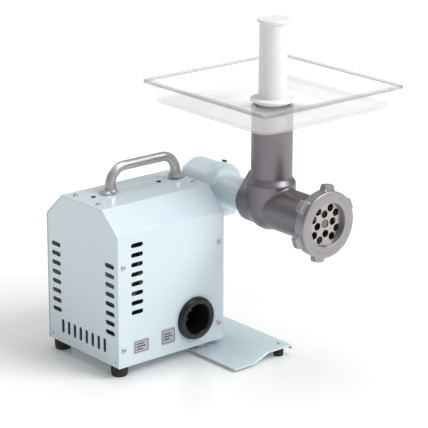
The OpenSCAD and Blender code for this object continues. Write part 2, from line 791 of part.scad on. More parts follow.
module gearbox_housing() {
    boss = 30;
    color([0.80, 0.87, 0.90]) place() difference() {
        union() {
            at_head() y_rod(disc_front, disc_back, disc_r);
            at_head() y_rod(disc_back - 1, drum_back, drum_r);
            at_head() y_rod(neck_front, disc_front + 1, neck_r);
            at_head() y_rod(disc_front - 6, disc_front + 0.5, neck_r, neck_r + 5);
            at_worm() x_rod(case_l - panel_inset, tube_end, tube_r);
            at_worm() x_rod(case_l - panel_inset, case_l - panel_inset + worm_flange_t, worm_flange_r);
            at_head() translate([0, neck_front + 19, 0]) x_rod(spigot_r, boss, 9);
            at_head() rotate([0, plug_turn, 0]) translate([0, plug_y, 0])
                z_rod(drum_r - 4, disc_r + 1, 4.5);
        }
        at_head() y_rod(neck_front - 1, spigot_back + 1, spigot_r + run_fit);
        at_head() y_rod(spigot_back, seat_front + 1, seal_r);
        at_head() y_rod(seat_front, seat_front + output_bearing_w + 0.5, output_bearing_r);
        at_head() y_rod(seat_front + output_bearing_w, drum_back + 1, cavity_r);
        at_worm() x_rod(case_l - 5, tube_end + 1, worm_bore_r);
        at_head() translate([0, neck_front + 19, 0]) x_rod(spigot_r - 1, boss + 1, 4 + run_fit);
        at_head() rotate([0, plug_turn, 0]) translate([0, plug_y, 0])
            z_rod(cavity_r - 2, disc_r + 2, 2 + run_fit);
        at_head() for (a = [45:90:315]) rotate([0, a, 0]) translate([cover_screw_circle, 0, 0])
            y_rod(drum_back - 14, drum_back + 1, 1.6 + run_fit);
        at_worm() for (a = [45:90:315]) rotate([a, 0, 0]) translate([0, flange_screw_circle, 0])
            x_rod(case_l - 5, case_l + worm_flange_t + 1, screw_r + screw_gap);
    }
}
module gearbox_cover() {
    color([0.80, 0.87, 0.90]) place() at_head() difference() {
        union() {
            y_rod(drum_back, drum_back + cover_t - 0.8, cover_r);
            y_rod(drum_back + cover_t - 0.8, drum_back + cover_t, cover_r, cover_r - 0.8);
            y_rod(rear_seat, drum_back + 1, output_bearing_r + 4);
        }
        y_rod(rear_seat - 1, rear_seat + output_bearing_w, output_bearing_r);
        for (a = [45:90:315]) rotate([0, a, 0]) translate([cover_screw_circle, 0, 0])
            y_rod(drum_back - 1, drum_back + cover_t + 1, 1.6 + screw_gap);
    }
}
module gearbox_screws() {
    color([0.7, 0.7, 0.72]) place() at_head() for (a = [45:90:315]) rotate([0, a, 0])
        translate([cover_screw_circle, drum_back + cover_t, 0]) rotate([-90, 0, 0])
            pan_screw(cover_t + 12, 1.6, 2.6);
}
module flange_screws() {
    color([0.7, 0.7, 0.72]) place() at_worm() for (a = [45:90:315]) rotate([a, 0, 0])
        translate([case_l - panel_inset + worm_flange_t, flange_screw_circle, 0]) rotate([0, 90, 0])
            pan_screw(worm_flange_t + 6, screw_r, 3.4);
}
module oil_plug() {
    color([0.2, 0.2, 0.21]) place() at_head() rotate([0, plug_turn, 0]) translate([0, plug_y, 0]) {
        translate([0, 0, disc_r + 1]) cylinder(h = 2.2, r = 4, $fn = 6);
        z_rod(cavity_r + 1, disc_r + 1.5, 2);
    }
}
module output_bearings() {
    color([0.75, 0.75, 0.77]) place() at_head() for (y = [seat_front, rear_seat])
        translate([0, y, 0]) rotate([-90, 0, 0])
            bearing(output_r + run_fit, output_bearing_r, output_bearing_w);
}
module shaft_seal() {
    color([0.1, 0.1, 0.1]) place() at_head()
        y_ring(spigot_back + 3, spigot_back + 9, seal_r, socket_r + run_fit);
}
module worm_bearing() {
    color([0.75, 0.75, 0.77]) place() at_worm() translate([tube_end - bearing_w - 2, 0, 0]) rotate([0, 90, 0])
        bearing(shaft_r + run_fit, worm_bore_r, bearing_w);
}
module worm_cap() {
    color([0.80, 0.87, 0.90]) place() at_worm() {
        x_rod(tube_end, tube_end + 4, tube_r);
        x_rod(tube_end - 2, tube_end + 1, worm_bore_r - 0.1);
        translate([tube_end + 3.5, 0, 0]) rotate([0, 90, 0]) cylinder(h = 4, r = 8, $fn = 6);
    }
}

module motor_shaft() {
    color([0.78, 0.78, 0.8]) place() at_worm() {
        x_rod(motor_x - 18, tube_end - 2.5, shaft_r);
        x_rod(motor_x - 4, motor_x + 1, shaft_r + 0.9);
        x_rod(stator_x - 8, stator_x - 3, collar_r);
        x_rod(head_x - worm_l / 2 - 5, head_x - worm_l / 2, collar_r);
    }
}
module rotor_core() {
    color([0.55, 0.56, 0.58]) place() at_worm() difference() {
        x_rod(stator_x - 3, stator_end + 3, stator_bore - air_gap);
        x_rod(stator_x - 4, stator_end + 4, shaft_r + 0.02);
    }
}
// The worm's section is the same at every station, turned by its place along the axis
module worm() {
    half = 180 * (lead / 2 - 0.35) / lead;
    slope = 360 * tan(20) / lead;
    tip_w = 2 * (half - slope * addendum);
    root_w = 2 * (half + slope * dedendum);
    root_r = worm_r - dedendum;
    turns = worm_l / lead;
    points = [for (a = [0:15:345])
        let (h = flank(turn_diff(a), tip_w, root_w), r = root_r + (worm_tip - root_r) * h)
        [r * cos(a), r * sin(a)]];
    color([0.62, 0.63, 0.65]) place() at_worm() translate([head_x - worm_l / 2, 0, 0]) rotate([0, 90, 0])
        rotate([0, 0, worm_phase])
            linear_extrude(worm_l, twist = -360 * turns, slices = round(12 * turns), $fn = 12) difference() {
                polygon(points);
                circle(shaft_r / cos(15) + 0.05, $fn = 12);
            }
}
module cooling_fan() {
    color([0.15, 0.15, 0.16]) place() at_worm() difference() {
        union() {
            x_rod(motor_x - 16, motor_x - 4, 12);
            x_rod(motor_x - 6, motor_x - 4, motor_r - 10);
            for (a = [0:40:320]) rotate([a, 0, 0])
                box_between([motor_x - 15, 10, -0.8], [motor_x - 5, motor_r - 10, 0.8]);
        }
        x_rod(motor_x - 17, motor_x - 3, shaft_r + 0.02);
    }
}
module wheel_tooth() {
    p = PI * gear_module;
    half = p / 4 - 0.2;
    t = tan(20);
    tip = half - addendum * t;
    root = half + dedendum * t;
    // A straight prism turned to the worm's lead angle
    translate([wheel_r, 0, 0]) rotate([-lead_angle, 0, 0]) linear_extrude(wheel_w + 4, center = true)
        polygon([[-dedendum - 1, -root], [addendum, -tip], [addendum, tip], [-dedendum - 1, root]]);
}
module worm_wheel() {
    root = wheel_r - dedendum;
    color([0.72, 0.56, 0.26]) place() at_head() translate([0, mesh_y, 0]) rotate([-90, 0, 0]) difference() {
        union() {
            z_rod(-wheel_w / 2, wheel_w / 2, root);
            intersection() {
                z_rod(-wheel_w / 2, wheel_w / 2, wheel_r + addendum);
                union() for (i = [0:wheel_teeth - 1]) rotate([0, 0, 90 + 360 * i / wheel_teeth])
                    wheel_tooth();
            }
        }
        z_rod(-wheel_w, wheel_w, output_r + 0.02);
        for (s = [0, 1]) mirror([0, 0, s]) z_ring(wheel_w / 2 - 4, wheel_w / 2 + 1, root - 5, output_r + 6);
    }
}
module output_shaft() {
    color([0.78, 0.78, 0.8]) place() at_head() difference() {
        union() {
            y_rod(socket_front, seat_front, socket_r);
            y_rod(seat_front - 1, rear_seat + output_bearing_w - 1, output_r);
            y_rod(seat_front + output_bearing_w + 0.3, wheel_front, output_r + 3);
        }
        translate([0, socket_front + (tang_l - 0.3) / 2, 0])
            cube([tang + 2 * tang_gap, tang_l + 1, tang + 2 * tang_gap], center = true);
    }
}

module head_casting() {
    flare_front = barrel_end + thread_l;
    flare_back = flare_front + flare_l;
    shoulder_bottom = axis_z + shoulder_z - shoulder_h / 2;
    // The raised ridge along the barrel's top runs from the throat to the gearbox
    ridge_front = -throat_y + 8;
    color([0.52, 0.49, 0.51]) place() difference() {
        union() {
            at_head() y_rod(head_back - 1, spigot_back, spigot_r);
            at_head() xz_extrude(ridge_front, head_back)
                teardrop_shape(teardrop_r, tip_r, tip_z - tip_r);
            at_head() y_rod(flare_back - 0.5, head_back - flange_t + 1, barrel_out);
            at_head() y_rod(flare_front, flare_back, thread_r + 0.5, barrel_out - 0.7);
            at_head() y_rod(barrel_end, flare_front + 0.5, thread_r);
            at_throat() z_rod(axis_z, throat_top, throat_r);
            at_throat() z_rod(axis_z, shoulder_bottom, belly_r);
            at_throat() z_rod(shoulder_bottom, shoulder_bottom + 1.5 * shoulder_h, belly_r, throat_r);
            at_throat() translate([0, 0, axis_z]) sphere(belly_r);
        }
        at_head() y_rod(barrel_end - 1, bore_back, barrel_r);
        at_head() y_rod(bore_back - 1, spigot_back + 1, spindle_r + run_fit);
        at_head() y_rod(barrel_end - 1, plate_back, plate_r + 0.1);
        at_throat() z_rod(axis_z, throat_top + 1, throat_r - throat_wall);
        at_head() translate([0, 0, plate_r]) y_rod(barrel_end - 1, plate_back + 4, key_r + run_fit);
    }
}
module plate_key() {
    color([0.7, 0.7, 0.72]) place() at_head() translate([0, 0, plate_r])
        y_rod(barrel_end, plate_back + 4, key_r);
}
module feed_screw() {
    flight_l = flight_back - knife_back;
    turns = flight_l / feed_lead;
    mid_y = (knife_back + knife_front) / 2;
    points = [for (a = [0:12:348])
        let (r = core_r + (feed_r - core_r) * flank(turn_diff(a), 40, 120))
        [r * cos(a), r * sin(a)]];
    color([0.72, 0.72, 0.73]) place() at_head() {
        y_rod(bore_back - 1, spigot_back, spindle_r);
        y_rod(feed_back - 4, feed_back, spindle_r + 7);
        y_rod(feed_back - 1, bore_back, spindle_r);
        translate([0, flight_back, 0]) rotate([90, 0, 0])
            linear_extrude(flight_l, twist = -360 * turns, slices = round(20 * turns), $fn = 12)
                polygon(points);
        translate([0, spigot_back + tang_l / 2 - 0.5, 0]) cube([tang, tang_l + 1, tang], center = true);
        translate([0, mid_y, 0]) cube([stud_square, knife_t, stud_square], center = true);
        y_rod(plate_front + stud_in, knife_front + 1, stud_r);
    }
}
module thrust_washer() {
    color([0.75, 0.6, 0.3]) place() at_head()
        y_ring(bore_back - washer_t - 0.3, bore_back - 0.3, spindle_r + 6, spindle_r + run_fit);
}
module knife() {
    blade_r = barrel_r - 1.2;
    color([0.8, 0.8, 0.82]) place() at_head() difference() {
        union() {
            y_rod(knife_front, knife_back, 11);
            for (a = [15:90:285]) rotate([0, a, 0]) intersection() {
                y_rod(knife_front, knife_back, blade_r);
                box_between([5, knife_front, -5], [blade_r + 1, knife_back, 3]);
            }
        }
        translate([0, (knife_front + knife_back) / 2, 0])
            cube([stud_square + 0.1, knife_t + 1, stud_square + 0.1], center = true);
    }
}
module hole_plate() {
    inner_circle = 15;
    outer_circle = 25;
    first_hole = 4.5;
    pair_turn = 16.5;
    color([0.82, 0.82, 0.83]) place() at_head() difference() {
        y_rod(plate_front, plate_back, plate_r);
        y_rod(plate_front - 1, plate_back + 1, stud_r + run_fit);
        y_rod(plate_front - 1, plate_front + 3, stud_r + 1.6);
        for (a = [first_hole:90:first_hole + 270]) {
            rotate([0, -a, 0]) translate([inner_circle, 0, 0]) y_rod(plate_front - 1, plate_back + 1, hole_r);
            for (b = [-pair_turn, pair_turn]) rotate([0, -a - 45 - b, 0]) translate([outer_circle, 0, 0])
                y_rod(plate_front - 1, plate_back + 1, hole_r);
        }
        translate([0, 0, plate_r]) y_rod(plate_front - 1, plate_back + 1, key_r + part_gap);
    }
}
module ring_nut() {
    edge = 1.5;
    color([0.64, 0.62, 0.65]) place() at_head() difference() {
        union() {
            y_rod(nut_face, nut_face + edge, nut_r - edge, nut_r);
            y_rod(nut_face + edge, nut_back, nut_r);
            for (i = [0:lug_count - 1]) rotate([0, -lug_turn - 360 * i / lug_count, 0])
                xz_extrude(nut_face + 7, nut_back)
                    polygon([[nut_r - 3, -11], [lug_r, -7], [lug_r, 7], [nut_r - 3, 11]]);
        }
        y_rod(nut_face - 1, nut_back + 1, outlet_r);
        y_rod(plate_front, nut_back + 1, plate_r + part_gap);
        y_rod(nut_bore_end, nut_back + 1, nut_bore_r);
    }
}

module tray_section(l, w) { round_box_shape(l, w, corner_r); }
// A shell with sloped sides between two rounded outlines
module tray_block(l0, w0, l1, w1, z0, z1) {
    hull() {
        translate([0, 0, z0]) linear_extrude(0.01) tray_section(l0, w0, $fn = 32);
        translate([0, 0, z1 - 0.01]) linear_extrude(0.01) tray_section(l1, w1, $fn = 32);
    }
}
module tray() {
    top_l = tray_l - 2 * rim_w;
    top_w = tray_w - 2 * rim_w;
    bot_l = top_l - 2 * tray_draft;
    bot_w = top_w - 2 * tray_draft;
    rim_z = throat_top + tray_d;
    w = 2.4;
    color([0.9, 0.93, 0.94, 0.45]) place() at_throat() difference() {
        union() {
            tray_block(bot_l, bot_w, top_l, top_w, throat_top, rim_z);
            translate([0, 0, rim_z - 2]) linear_extrude(2) round_box_shape(tray_l, tray_w, rim_corner_r);
            translate([0, 0, rim_z - 5]) linear_extrude(4) difference() {
                round_box_shape(tray_l, tray_w, rim_corner_r);
                round_box_shape(tray_l - 3, tray_w - 3, rim_corner_r - 1.5);
            }
            z_rod(throat_top - spout_l, throat_top + 1, spout_r);
        }
        tray_block(bot_l - 2 * w, bot_w - 2 * w, top_l - 2 * w, top_w - 2 * w, tray_floor, rim_z + 1);
        z_rod(throat_top - spout_l - 1, tray_floor + 1, spout_r - spout_wall);
    }
}
module pusher() {
    color([0.95, 0.95, 0.95]) place() at_throat() {
        z_rod(pusher_bottom, pusher_bottom + 1.5, pusher_r - 1.5, pusher_r);
        z_rod(pusher_bottom + 1.5, pusher_top - knob_h + 1, pusher_r);
        z_rod(tray_floor, tray_floor + collar_h, pusher_r + 3.5);
        z_rod(tray_floor + collar_h, tray_floor + collar_h + flange_h, pusher_r + 12);
        z_rod(pusher_top - knob_h, pusher_top - 1.5, knob_r);
        z_rod(pusher_top - 1.5, pusher_top, knob_r, knob_r - 1.5);
    }
}
module lock_screw() {
    reach = 30 + part_gap;
    color([0.12, 0.12, 0.13]) place() at_head() translate([0, neck_front + 19, 0]) {
        x_rod(spigot_r + run_fit + part_gap, reach + 1, 4);
        difference() {
            x_rod(reach, reach + 14, 10);
            for (a = [0:36:324]) rotate([a, 0, 0]) translate([0, 11, 0]) x_rod(reach - 1, reach + 15, 2);
        }
    }
}

front_cover();
rear_cover();
end_panel();
drive_end_panel();
base_plate();
support_bracket();
bracket_spacers();
near_feet();
bracket_feet();
foot_screws();
handle();
handle_screws();
front_screws();
rear_screws();
hole_plugs();
inlet_bezel();
inlet_cup();
inlet_pins();
switch_frame();
switch_rocker();
blank_plates();
motor_stand();
rear_bell();
front_bell();
stator_core();
windings();
motor_bolts();
motor_bearings();
run_capacitor();
capacitor_clip();
terminal_block();
earth_wire();
supply_wire();
gearbox_housing();
gearbox_cover();
gearbox_screws();
flange_screws();
oil_plug();
output_bearings();
shaft_seal();
worm_bearing();
worm_cap();
motor_shaft();
rotor_core();
worm();
cooling_fan();
worm_wheel();
output_shaft();
head_casting();
plate_key();
feed_screw();
thrust_washer();
knife();
hole_plate();
ring_nut();
tray();
pusher();
lock_screw();
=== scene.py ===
"""Looks of the electric meat grinder, built around its packed model. All lengths are in metres."""

import json
import math

import bmesh
import bpy
import numpy as np
from bpy.props import FloatProperty, FloatVectorProperty, IntProperty, PointerProperty
from mathutils import Matrix, Vector

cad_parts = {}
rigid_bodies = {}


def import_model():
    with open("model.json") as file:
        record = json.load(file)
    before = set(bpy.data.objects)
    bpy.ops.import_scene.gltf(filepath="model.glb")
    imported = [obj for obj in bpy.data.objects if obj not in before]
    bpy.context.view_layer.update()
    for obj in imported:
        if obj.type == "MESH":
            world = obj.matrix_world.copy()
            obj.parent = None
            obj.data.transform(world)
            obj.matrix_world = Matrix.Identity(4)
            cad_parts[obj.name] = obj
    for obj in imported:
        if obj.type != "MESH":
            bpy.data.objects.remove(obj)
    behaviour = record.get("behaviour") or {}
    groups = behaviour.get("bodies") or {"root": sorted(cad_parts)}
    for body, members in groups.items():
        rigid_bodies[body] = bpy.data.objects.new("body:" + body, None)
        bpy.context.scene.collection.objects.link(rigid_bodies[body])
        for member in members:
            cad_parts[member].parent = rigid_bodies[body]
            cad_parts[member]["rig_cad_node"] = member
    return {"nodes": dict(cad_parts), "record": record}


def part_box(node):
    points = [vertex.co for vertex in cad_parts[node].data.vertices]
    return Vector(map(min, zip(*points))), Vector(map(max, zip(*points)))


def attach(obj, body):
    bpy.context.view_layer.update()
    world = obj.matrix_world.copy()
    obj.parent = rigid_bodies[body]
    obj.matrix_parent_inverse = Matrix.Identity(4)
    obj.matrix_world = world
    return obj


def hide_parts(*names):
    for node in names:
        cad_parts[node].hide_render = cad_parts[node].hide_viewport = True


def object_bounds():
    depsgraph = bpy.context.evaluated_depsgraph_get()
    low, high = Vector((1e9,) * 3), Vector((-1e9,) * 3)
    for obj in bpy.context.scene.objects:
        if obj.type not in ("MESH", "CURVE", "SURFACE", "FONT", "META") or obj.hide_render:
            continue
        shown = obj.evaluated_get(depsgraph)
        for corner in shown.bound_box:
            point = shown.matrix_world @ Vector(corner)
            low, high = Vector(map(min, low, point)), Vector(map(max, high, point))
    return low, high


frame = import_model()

CAD_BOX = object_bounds()

bl_info = {
    "name": "Meat grinder looks",
    "version": (1, 0, 0),
    "blender": (4, 5, 0),
    "location": "View3D > Sidebar > Grinder",
    "description": "Builds the finished surfaces of an electric meat grinder",
    "category": "Object",
}

MM = 0.001


# ---------------------------------------------------------------- settings
class GrinderColours(bpy.types.PropertyGroup):
    """Colours of the finishes, in linear values."""

    housing: FloatVectorProperty(
        name="Housing", description="Gloss powder coat on the cabinet", subtype="COLOR",
        default=(0.68, 0.79, 0.86), min=0, max=1)
    gearbox: FloatVectorProperty(
        name="Gearbox", description="Enamel on the gearbox casting", subtype="COLOR",
        default=(0.62, 0.73, 0.78), min=0, max=1)
    head: FloatVectorProperty(
        name="Mincing head", description="Grey metallic finish of the head", subtype="COLOR",
        default=(0.25, 0.228, 0.245), min=0, max=1)
    # The ring nut's colour is lighter than the head's, partly for a lighter metal and partly as painted light
    # on its face, which turns towards the lamps.
    nut: FloatVectorProperty(
        name="Ring nut", description="Lighter metal of the ring nut", subtype="COLOR",
        default=(0.38, 0.365, 0.385), min=0, max=1)
    handle: FloatVectorProperty(
        name="Handle", description="Satin cast aluminium", subtype="COLOR",
        default=(0.60, 0.58, 0.57), min=0, max=1)
    pusher: FloatVectorProperty(
        name="Pusher", description="White moulded plastic", subtype="COLOR",
        default=(0.79, 0.785, 0.78), min=0, max=1)


class GrinderSizes(bpy.types.PropertyGroup):
    """Sizes of the finished edges and of the pieces that are modelled here."""

    fold: FloatProperty(
        name="Fold radius", description="Outer radius of a bend in the sheet metal",
        default=0.0022, min=0.0005, max=0.004, unit="LENGTH")
    edge: FloatProperty(
        name="Edge round", description="Rounding of cut edges",
        default=0.00028, min=0.0001, max=0.001, unit="LENGTH")
    cast_grid: FloatProperty(
        name="Casting grid", description="Size of the faces that the castings are rebuilt with",
        default=0.00125, min=0.0008, max=0.003, unit="LENGTH")
    nut_steps: IntProperty(
        name="Nut steps", description="Steps round the ring nut", default=300, min=120, max=480)
    tray_wall: FloatProperty(
        name="Tray wall", description="Thickness of the tray", default=0.0026, min=0.0015, max=0.004,
        unit="LENGTH")


def colours():
    return bpy.context.scene.grinder_colours


def sizes():
    return bpy.context.scene.grinder_sizes


# ---------------------------------------------------------------- shader graphs
class Field:
    """A shader socket that can be used in sums."""

    def __init__(self, graph, socket):
        self.graph = graph
        self.socket = socket

    def math(self, operation, other, swapped=False):
        pair = (other, self) if swapped else (self, other)
        return self.graph.node("ShaderNodeMath", {"operation": operation}, dict(enumerate(pair)))

    def __add__(self, other):
        return self.math("ADD", other)

    def __mul__(self, other):
        return self.math("MULTIPLY", other)

    def __sub__(self, other):
        return self.math("SUBTRACT", other)

    def __rsub__(self, other):
        return self.math("SUBTRACT", other, True)

    def __pow__(self, other):
        return self.math("POWER", other)

    __radd__ = __add__
    __rmul__ = __mul__


class Finish:
    """A material with one Principled shader and the fields that feed it."""

    def __init__(self, name, **constants):
        self.material = bpy.data.materials.new(name)
        self.material.use_nodes = True
        self.tree = self.material.node_tree
        self.shader = next(n for n in self.tree.nodes if n.type == "BSDF_PRINCIPLED")
        for key, value in constants.items():
            self.shader.inputs[key.replace("_", " ")].default_value = value
        self.place = Field(self, self.tree.nodes.new("ShaderNodeTexCoord").outputs["Object"])

    def node(self, kind, settings=None, inputs=None, out=0):
        """Adds a node, with its settings set first and then its inputs, and returns one output."""
        made = self.tree.nodes.new(kind)
        for key, value in (settings or {}).items():
            if key == "stops":
                ramp = made.color_ramp
                ramp.elements[0].position, ramp.elements[1].position = value[0][0], value[-1][0]
                ramp.elements[0].color, ramp.elements[1].color = value[0][1], value[-1][1]
                for position, colour in value[1:-1]:
                    ramp.elements.new(position).color = colour
            else:
                setattr(made, key, value)
        for key, value in (inputs or {}).items():
            if isinstance(value, Field):
                self.tree.links.new(value.socket, made.inputs[key])
            else:
                made.inputs[key].default_value = value
        return Field(self, made.outputs[out])

    def feed(self, name, field):
        self.tree.links.new(field.socket, self.shader.inputs[name])
        return self

    def noise(self, scale, detail=3.0, rough=0.55, where=None):
        return self.node("ShaderNodeTexNoise", {"noise_dimensions": "3D"}, {
            "Vector": where or self.place, "Scale": scale, "Detail": detail, "Roughness": rough})

    def stretched(self, scale, centre=(0, 0, 0)):
        """The place, measured from a centre and then scaled by axis."""
        moved = self.node("ShaderNodeVectorMath", {"operation": "SUBTRACT"}, {0: self.place, 1: centre})
        return self.node("ShaderNodeMapping", None, {"Vector": moved, "Scale": scale})

    def between(self, factor, low, high):
        """low + factor * (high - low), for numbers."""
        return factor * (high - low) + low

    def mixed(self, factor, first, second):
        """A colour between two others."""
        first, second = [v if isinstance(v, Field) else (*v, 1.0) for v in (first, second)]
        return self.node("ShaderNodeMix", {"data_type": "RGBA", "clamp_factor": True},
                         {0: factor, 6: first, 7: second}, 2)

    def step(self, field, low, high):
        """0 below low, 1 above high and straight between them."""
        return self.node("ShaderNodeMapRange", {"clamp": True}, {0: field, 1: low, 2: high, 3: 0.0, 4: 1.0})

    def bumped(self, height, strength, distance):
        return self.feed("Normal", self.node("ShaderNodeBump", None,
                                             {"Strength": strength, "Distance": distance, "Height": height}))


def darker(colour, share):
    return tuple(c * share for c in colour)


def coat_of(name, colour, rough=(0.16, 0.26), peel=420.0, depth=0.00003, coat=0.8, grain=0.2):
    """Sprayed and baked coating: a slow tone drift, orange peel and a slightly uneven gloss."""
    f = Finish(name, Coat_Weight=coat, Coat_Roughness=0.04, IOR=1.5)
    drift = f.noise(7.0, 2.0)
    speck = f.noise(2600.0, 1.0)
    tone = f.mixed(f.step(drift, 0.3, 0.7), darker(colour, 0.98), colour)
    f.feed("Base Color", f.mixed(f.step(speck, 0.64, 0.78) * 0.12, tone, darker(colour, 0.88)))
    f.feed("Roughness", f.between(f.noise(30.0, 4.0), *rough))
    return f.bumped(f.noise(peel, 2.0) + f.noise(peel * 4.5, 1.0) * grain, 0.25, depth)


def cast_metal(name, colour, rough=(0.34, 0.52), sand=900.0, depth=0.00022, metallic=0.9, stain=0.80):
    """Cast metal: sand grain in two sizes, cloudy tone and darker spots where the mould left them."""
    f = Finish(name, Metallic=metallic, IOR=1.6)
    cloud = f.noise(26.0, 5.0, 0.6)
    grain = f.noise(sand, 3.0, 0.7)
    pits = f.step(f.noise(sand * 0.33, 2.0), 0.62, 0.74)
    tone = f.mixed(f.step(cloud, 0.3, 0.72), darker(colour, stain), colour)
    f.feed("Base Color", f.mixed(pits * 0.5, tone, darker(colour, 0.6)))
    f.feed("Roughness", f.between(f.step(cloud * 0.6 + grain * 0.4, 0.25, 0.75), *rough))
    return f.bumped(grain - pits * 0.8 + f.noise(180.0, 2.0) * 0.6, 0.45, depth)


def brushed_metal(name, colour, along, rough, metallic=1.0):
    """Steel brushed one way: a noise stretched along one axis drives gloss, tone and fine lines."""
    f = Finish(name, Metallic=metallic)
    lines = f.noise(1.0, 3.0, 0.7, f.stretched(tuple(60.0 if i == along else 2600.0 for i in range(3))))
    f.feed("Base Color", f.mixed(lines, darker(colour, 0.82), colour))
    f.feed("Roughness", f.between(lines, *rough))
    return f.bumped(lines, 0.25, 0.00005)


def ground_face(name, colour, centre, rough):
    """Steel ground on a turntable: the noise depends on the distance from the axis along Y."""
    f = Finish(name, Metallic=1.0)
    moved = f.stretched((1.0, 0.0, 1.0), centre)
    radius = f.node("ShaderNodeVectorMath", {"operation": "LENGTH"}, {0: moved}, 1)
    ring = f.node("ShaderNodeCombineXYZ", None, {0: radius * 2600.0, 1: 0.0, 2: 0.0})
    rings = f.noise(1.0, 3.0, 0.7, ring)
    smear = f.noise(70.0, 4.0)
    f.feed("Base Color", f.mixed(f.step(smear * 0.5 + rings * 0.5, 0.3, 0.7), darker(colour, 0.78), colour))
    f.feed("Roughness", f.between(f.step(rings * 0.6 + smear * 0.4, 0.3, 0.7), *rough))
    return f.bumped(rings, 0.3, 0.00005)


def moulded(name, colour, rough=(0.35, 0.5), texture=1500.0, depth=0.00006, coat=0.0, spread=0.93):
    """Moulded plastic or rubber: fine spark texture, faint flow marks and an uneven gloss."""
    f = Finish(name, Coat_Weight=coat, IOR=1.47)
    flow = f.noise(1.0, 3.0, 0.5, f.stretched((18.0, 18.0, 55.0)))
    f.feed("Base Color", f.mixed(f.step(flow, 0.35, 0.65), darker(colour, spread), colour))
    f.feed("Roughness", f.between(f.step(f.noise(90.0, 4.0) * 0.6 + flow * 0.4, 0.3, 0.7), *rough))
    return f.bumped(f.noise(texture, 2.0), 0.4, depth)


def clear_plastic(name, low, high, floor):
    """Clear moulded plastic: nearly invisible when seen straight on, greyer at a glance and along the rim
    and the foot of the walls, where light is caught in the edge. Faint flow lines and wipe marks."""
    f = Finish(name, IOR=1.46, Coat_Weight=0.3, Coat_Roughness=0.03)
    haze = f.noise(45.0, 5.0, 0.65)
    glance = f.node("ShaderNodeLayerWeight", None, {"Blend": 0.4}, 1)
    moved = f.stretched((1.0, 1.0, 1.0), tuple((low + high) / 2))
    x, y, z = (f.node("ShaderNodeSeparateXYZ", None, {0: moved}, i) for i in range(3))
    past_x = x.math("ABSOLUTE", 0.0) - (high.x - low.x) / 2
    past_y = y.math("ABSOLUTE", 0.0) - (high.y - low.y) / 2
    out = past_x.math("MAXIMUM", past_y)
    rim = f.step(out, -2.2 * MM, -1.4 * MM)
    top = floor - (low.z + high.z) / 2
    foot = f.step(out, -17 * MM, -8 * MM) * (1.0 - f.step(z, top + 2 * MM, top + 9 * MM))
    dark = f.step(glance * 0.8 + rim + foot * 0.5, 0.35, 1.2)
    f.feed("Base Color", f.mixed(dark, (0.80, 0.815, 0.82), (0.20, 0.205, 0.21)))
    f.feed("Roughness", f.between(f.step(haze, 0.45, 0.75), 0.06, 0.16))
    f.feed("Alpha", glance ** 2.0 * 0.7 + f.between(haze, 0.02, 0.07) + rim * 0.24 + foot * 0.3)
    return f.bumped(f.noise(1.0, 2.0, 0.5, f.stretched((7.0, 7.0, 30.0))), 0.12, 0.0002)


def wound_copper(name, centre):
    """Enamelled wire: close turns round the motor's axis."""
    f = Finish(name, Metallic=0.9, Coat_Weight=0.6)
    moved = f.stretched((1.0, 1.0, 1.0), centre)
    strands = f.node("ShaderNodeTexWave", {"wave_type": "RINGS", "rings_direction": "X"},
                     {"Vector": moved, "Scale": 260.0, "Distortion": 2.0, "Detail": 2.0})
    f.feed("Base Color", f.mixed(strands, (0.20, 0.07, 0.02), (0.72, 0.32, 0.12)))
    f.feed("Roughness", f.between(strands, 0.25, 0.45))
    return f.bumped(strands, 0.6, 0.0004)


def laminated(name, colour):
    """Stacked sheets: a fine line across the motor's axis at each sheet."""
    f = Finish(name, Metallic=0.85)
    sheets = f.node("ShaderNodeTexWave", {"wave_type": "BANDS", "bands_direction": "X"},
                    {"Vector": f.place, "Scale": 320.0, "Distortion": 0.2, "Detail": 1.0})
    f.feed("Base Color", f.mixed(sheets, darker(colour, 0.55), colour))
    f.feed("Roughness", f.between(f.noise(60.0), 0.4, 0.6))
    return f.bumped(sheets, 0.5, 0.0002)


def centre_of(node):
    low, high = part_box(node)
    return tuple((low + high) / 2)


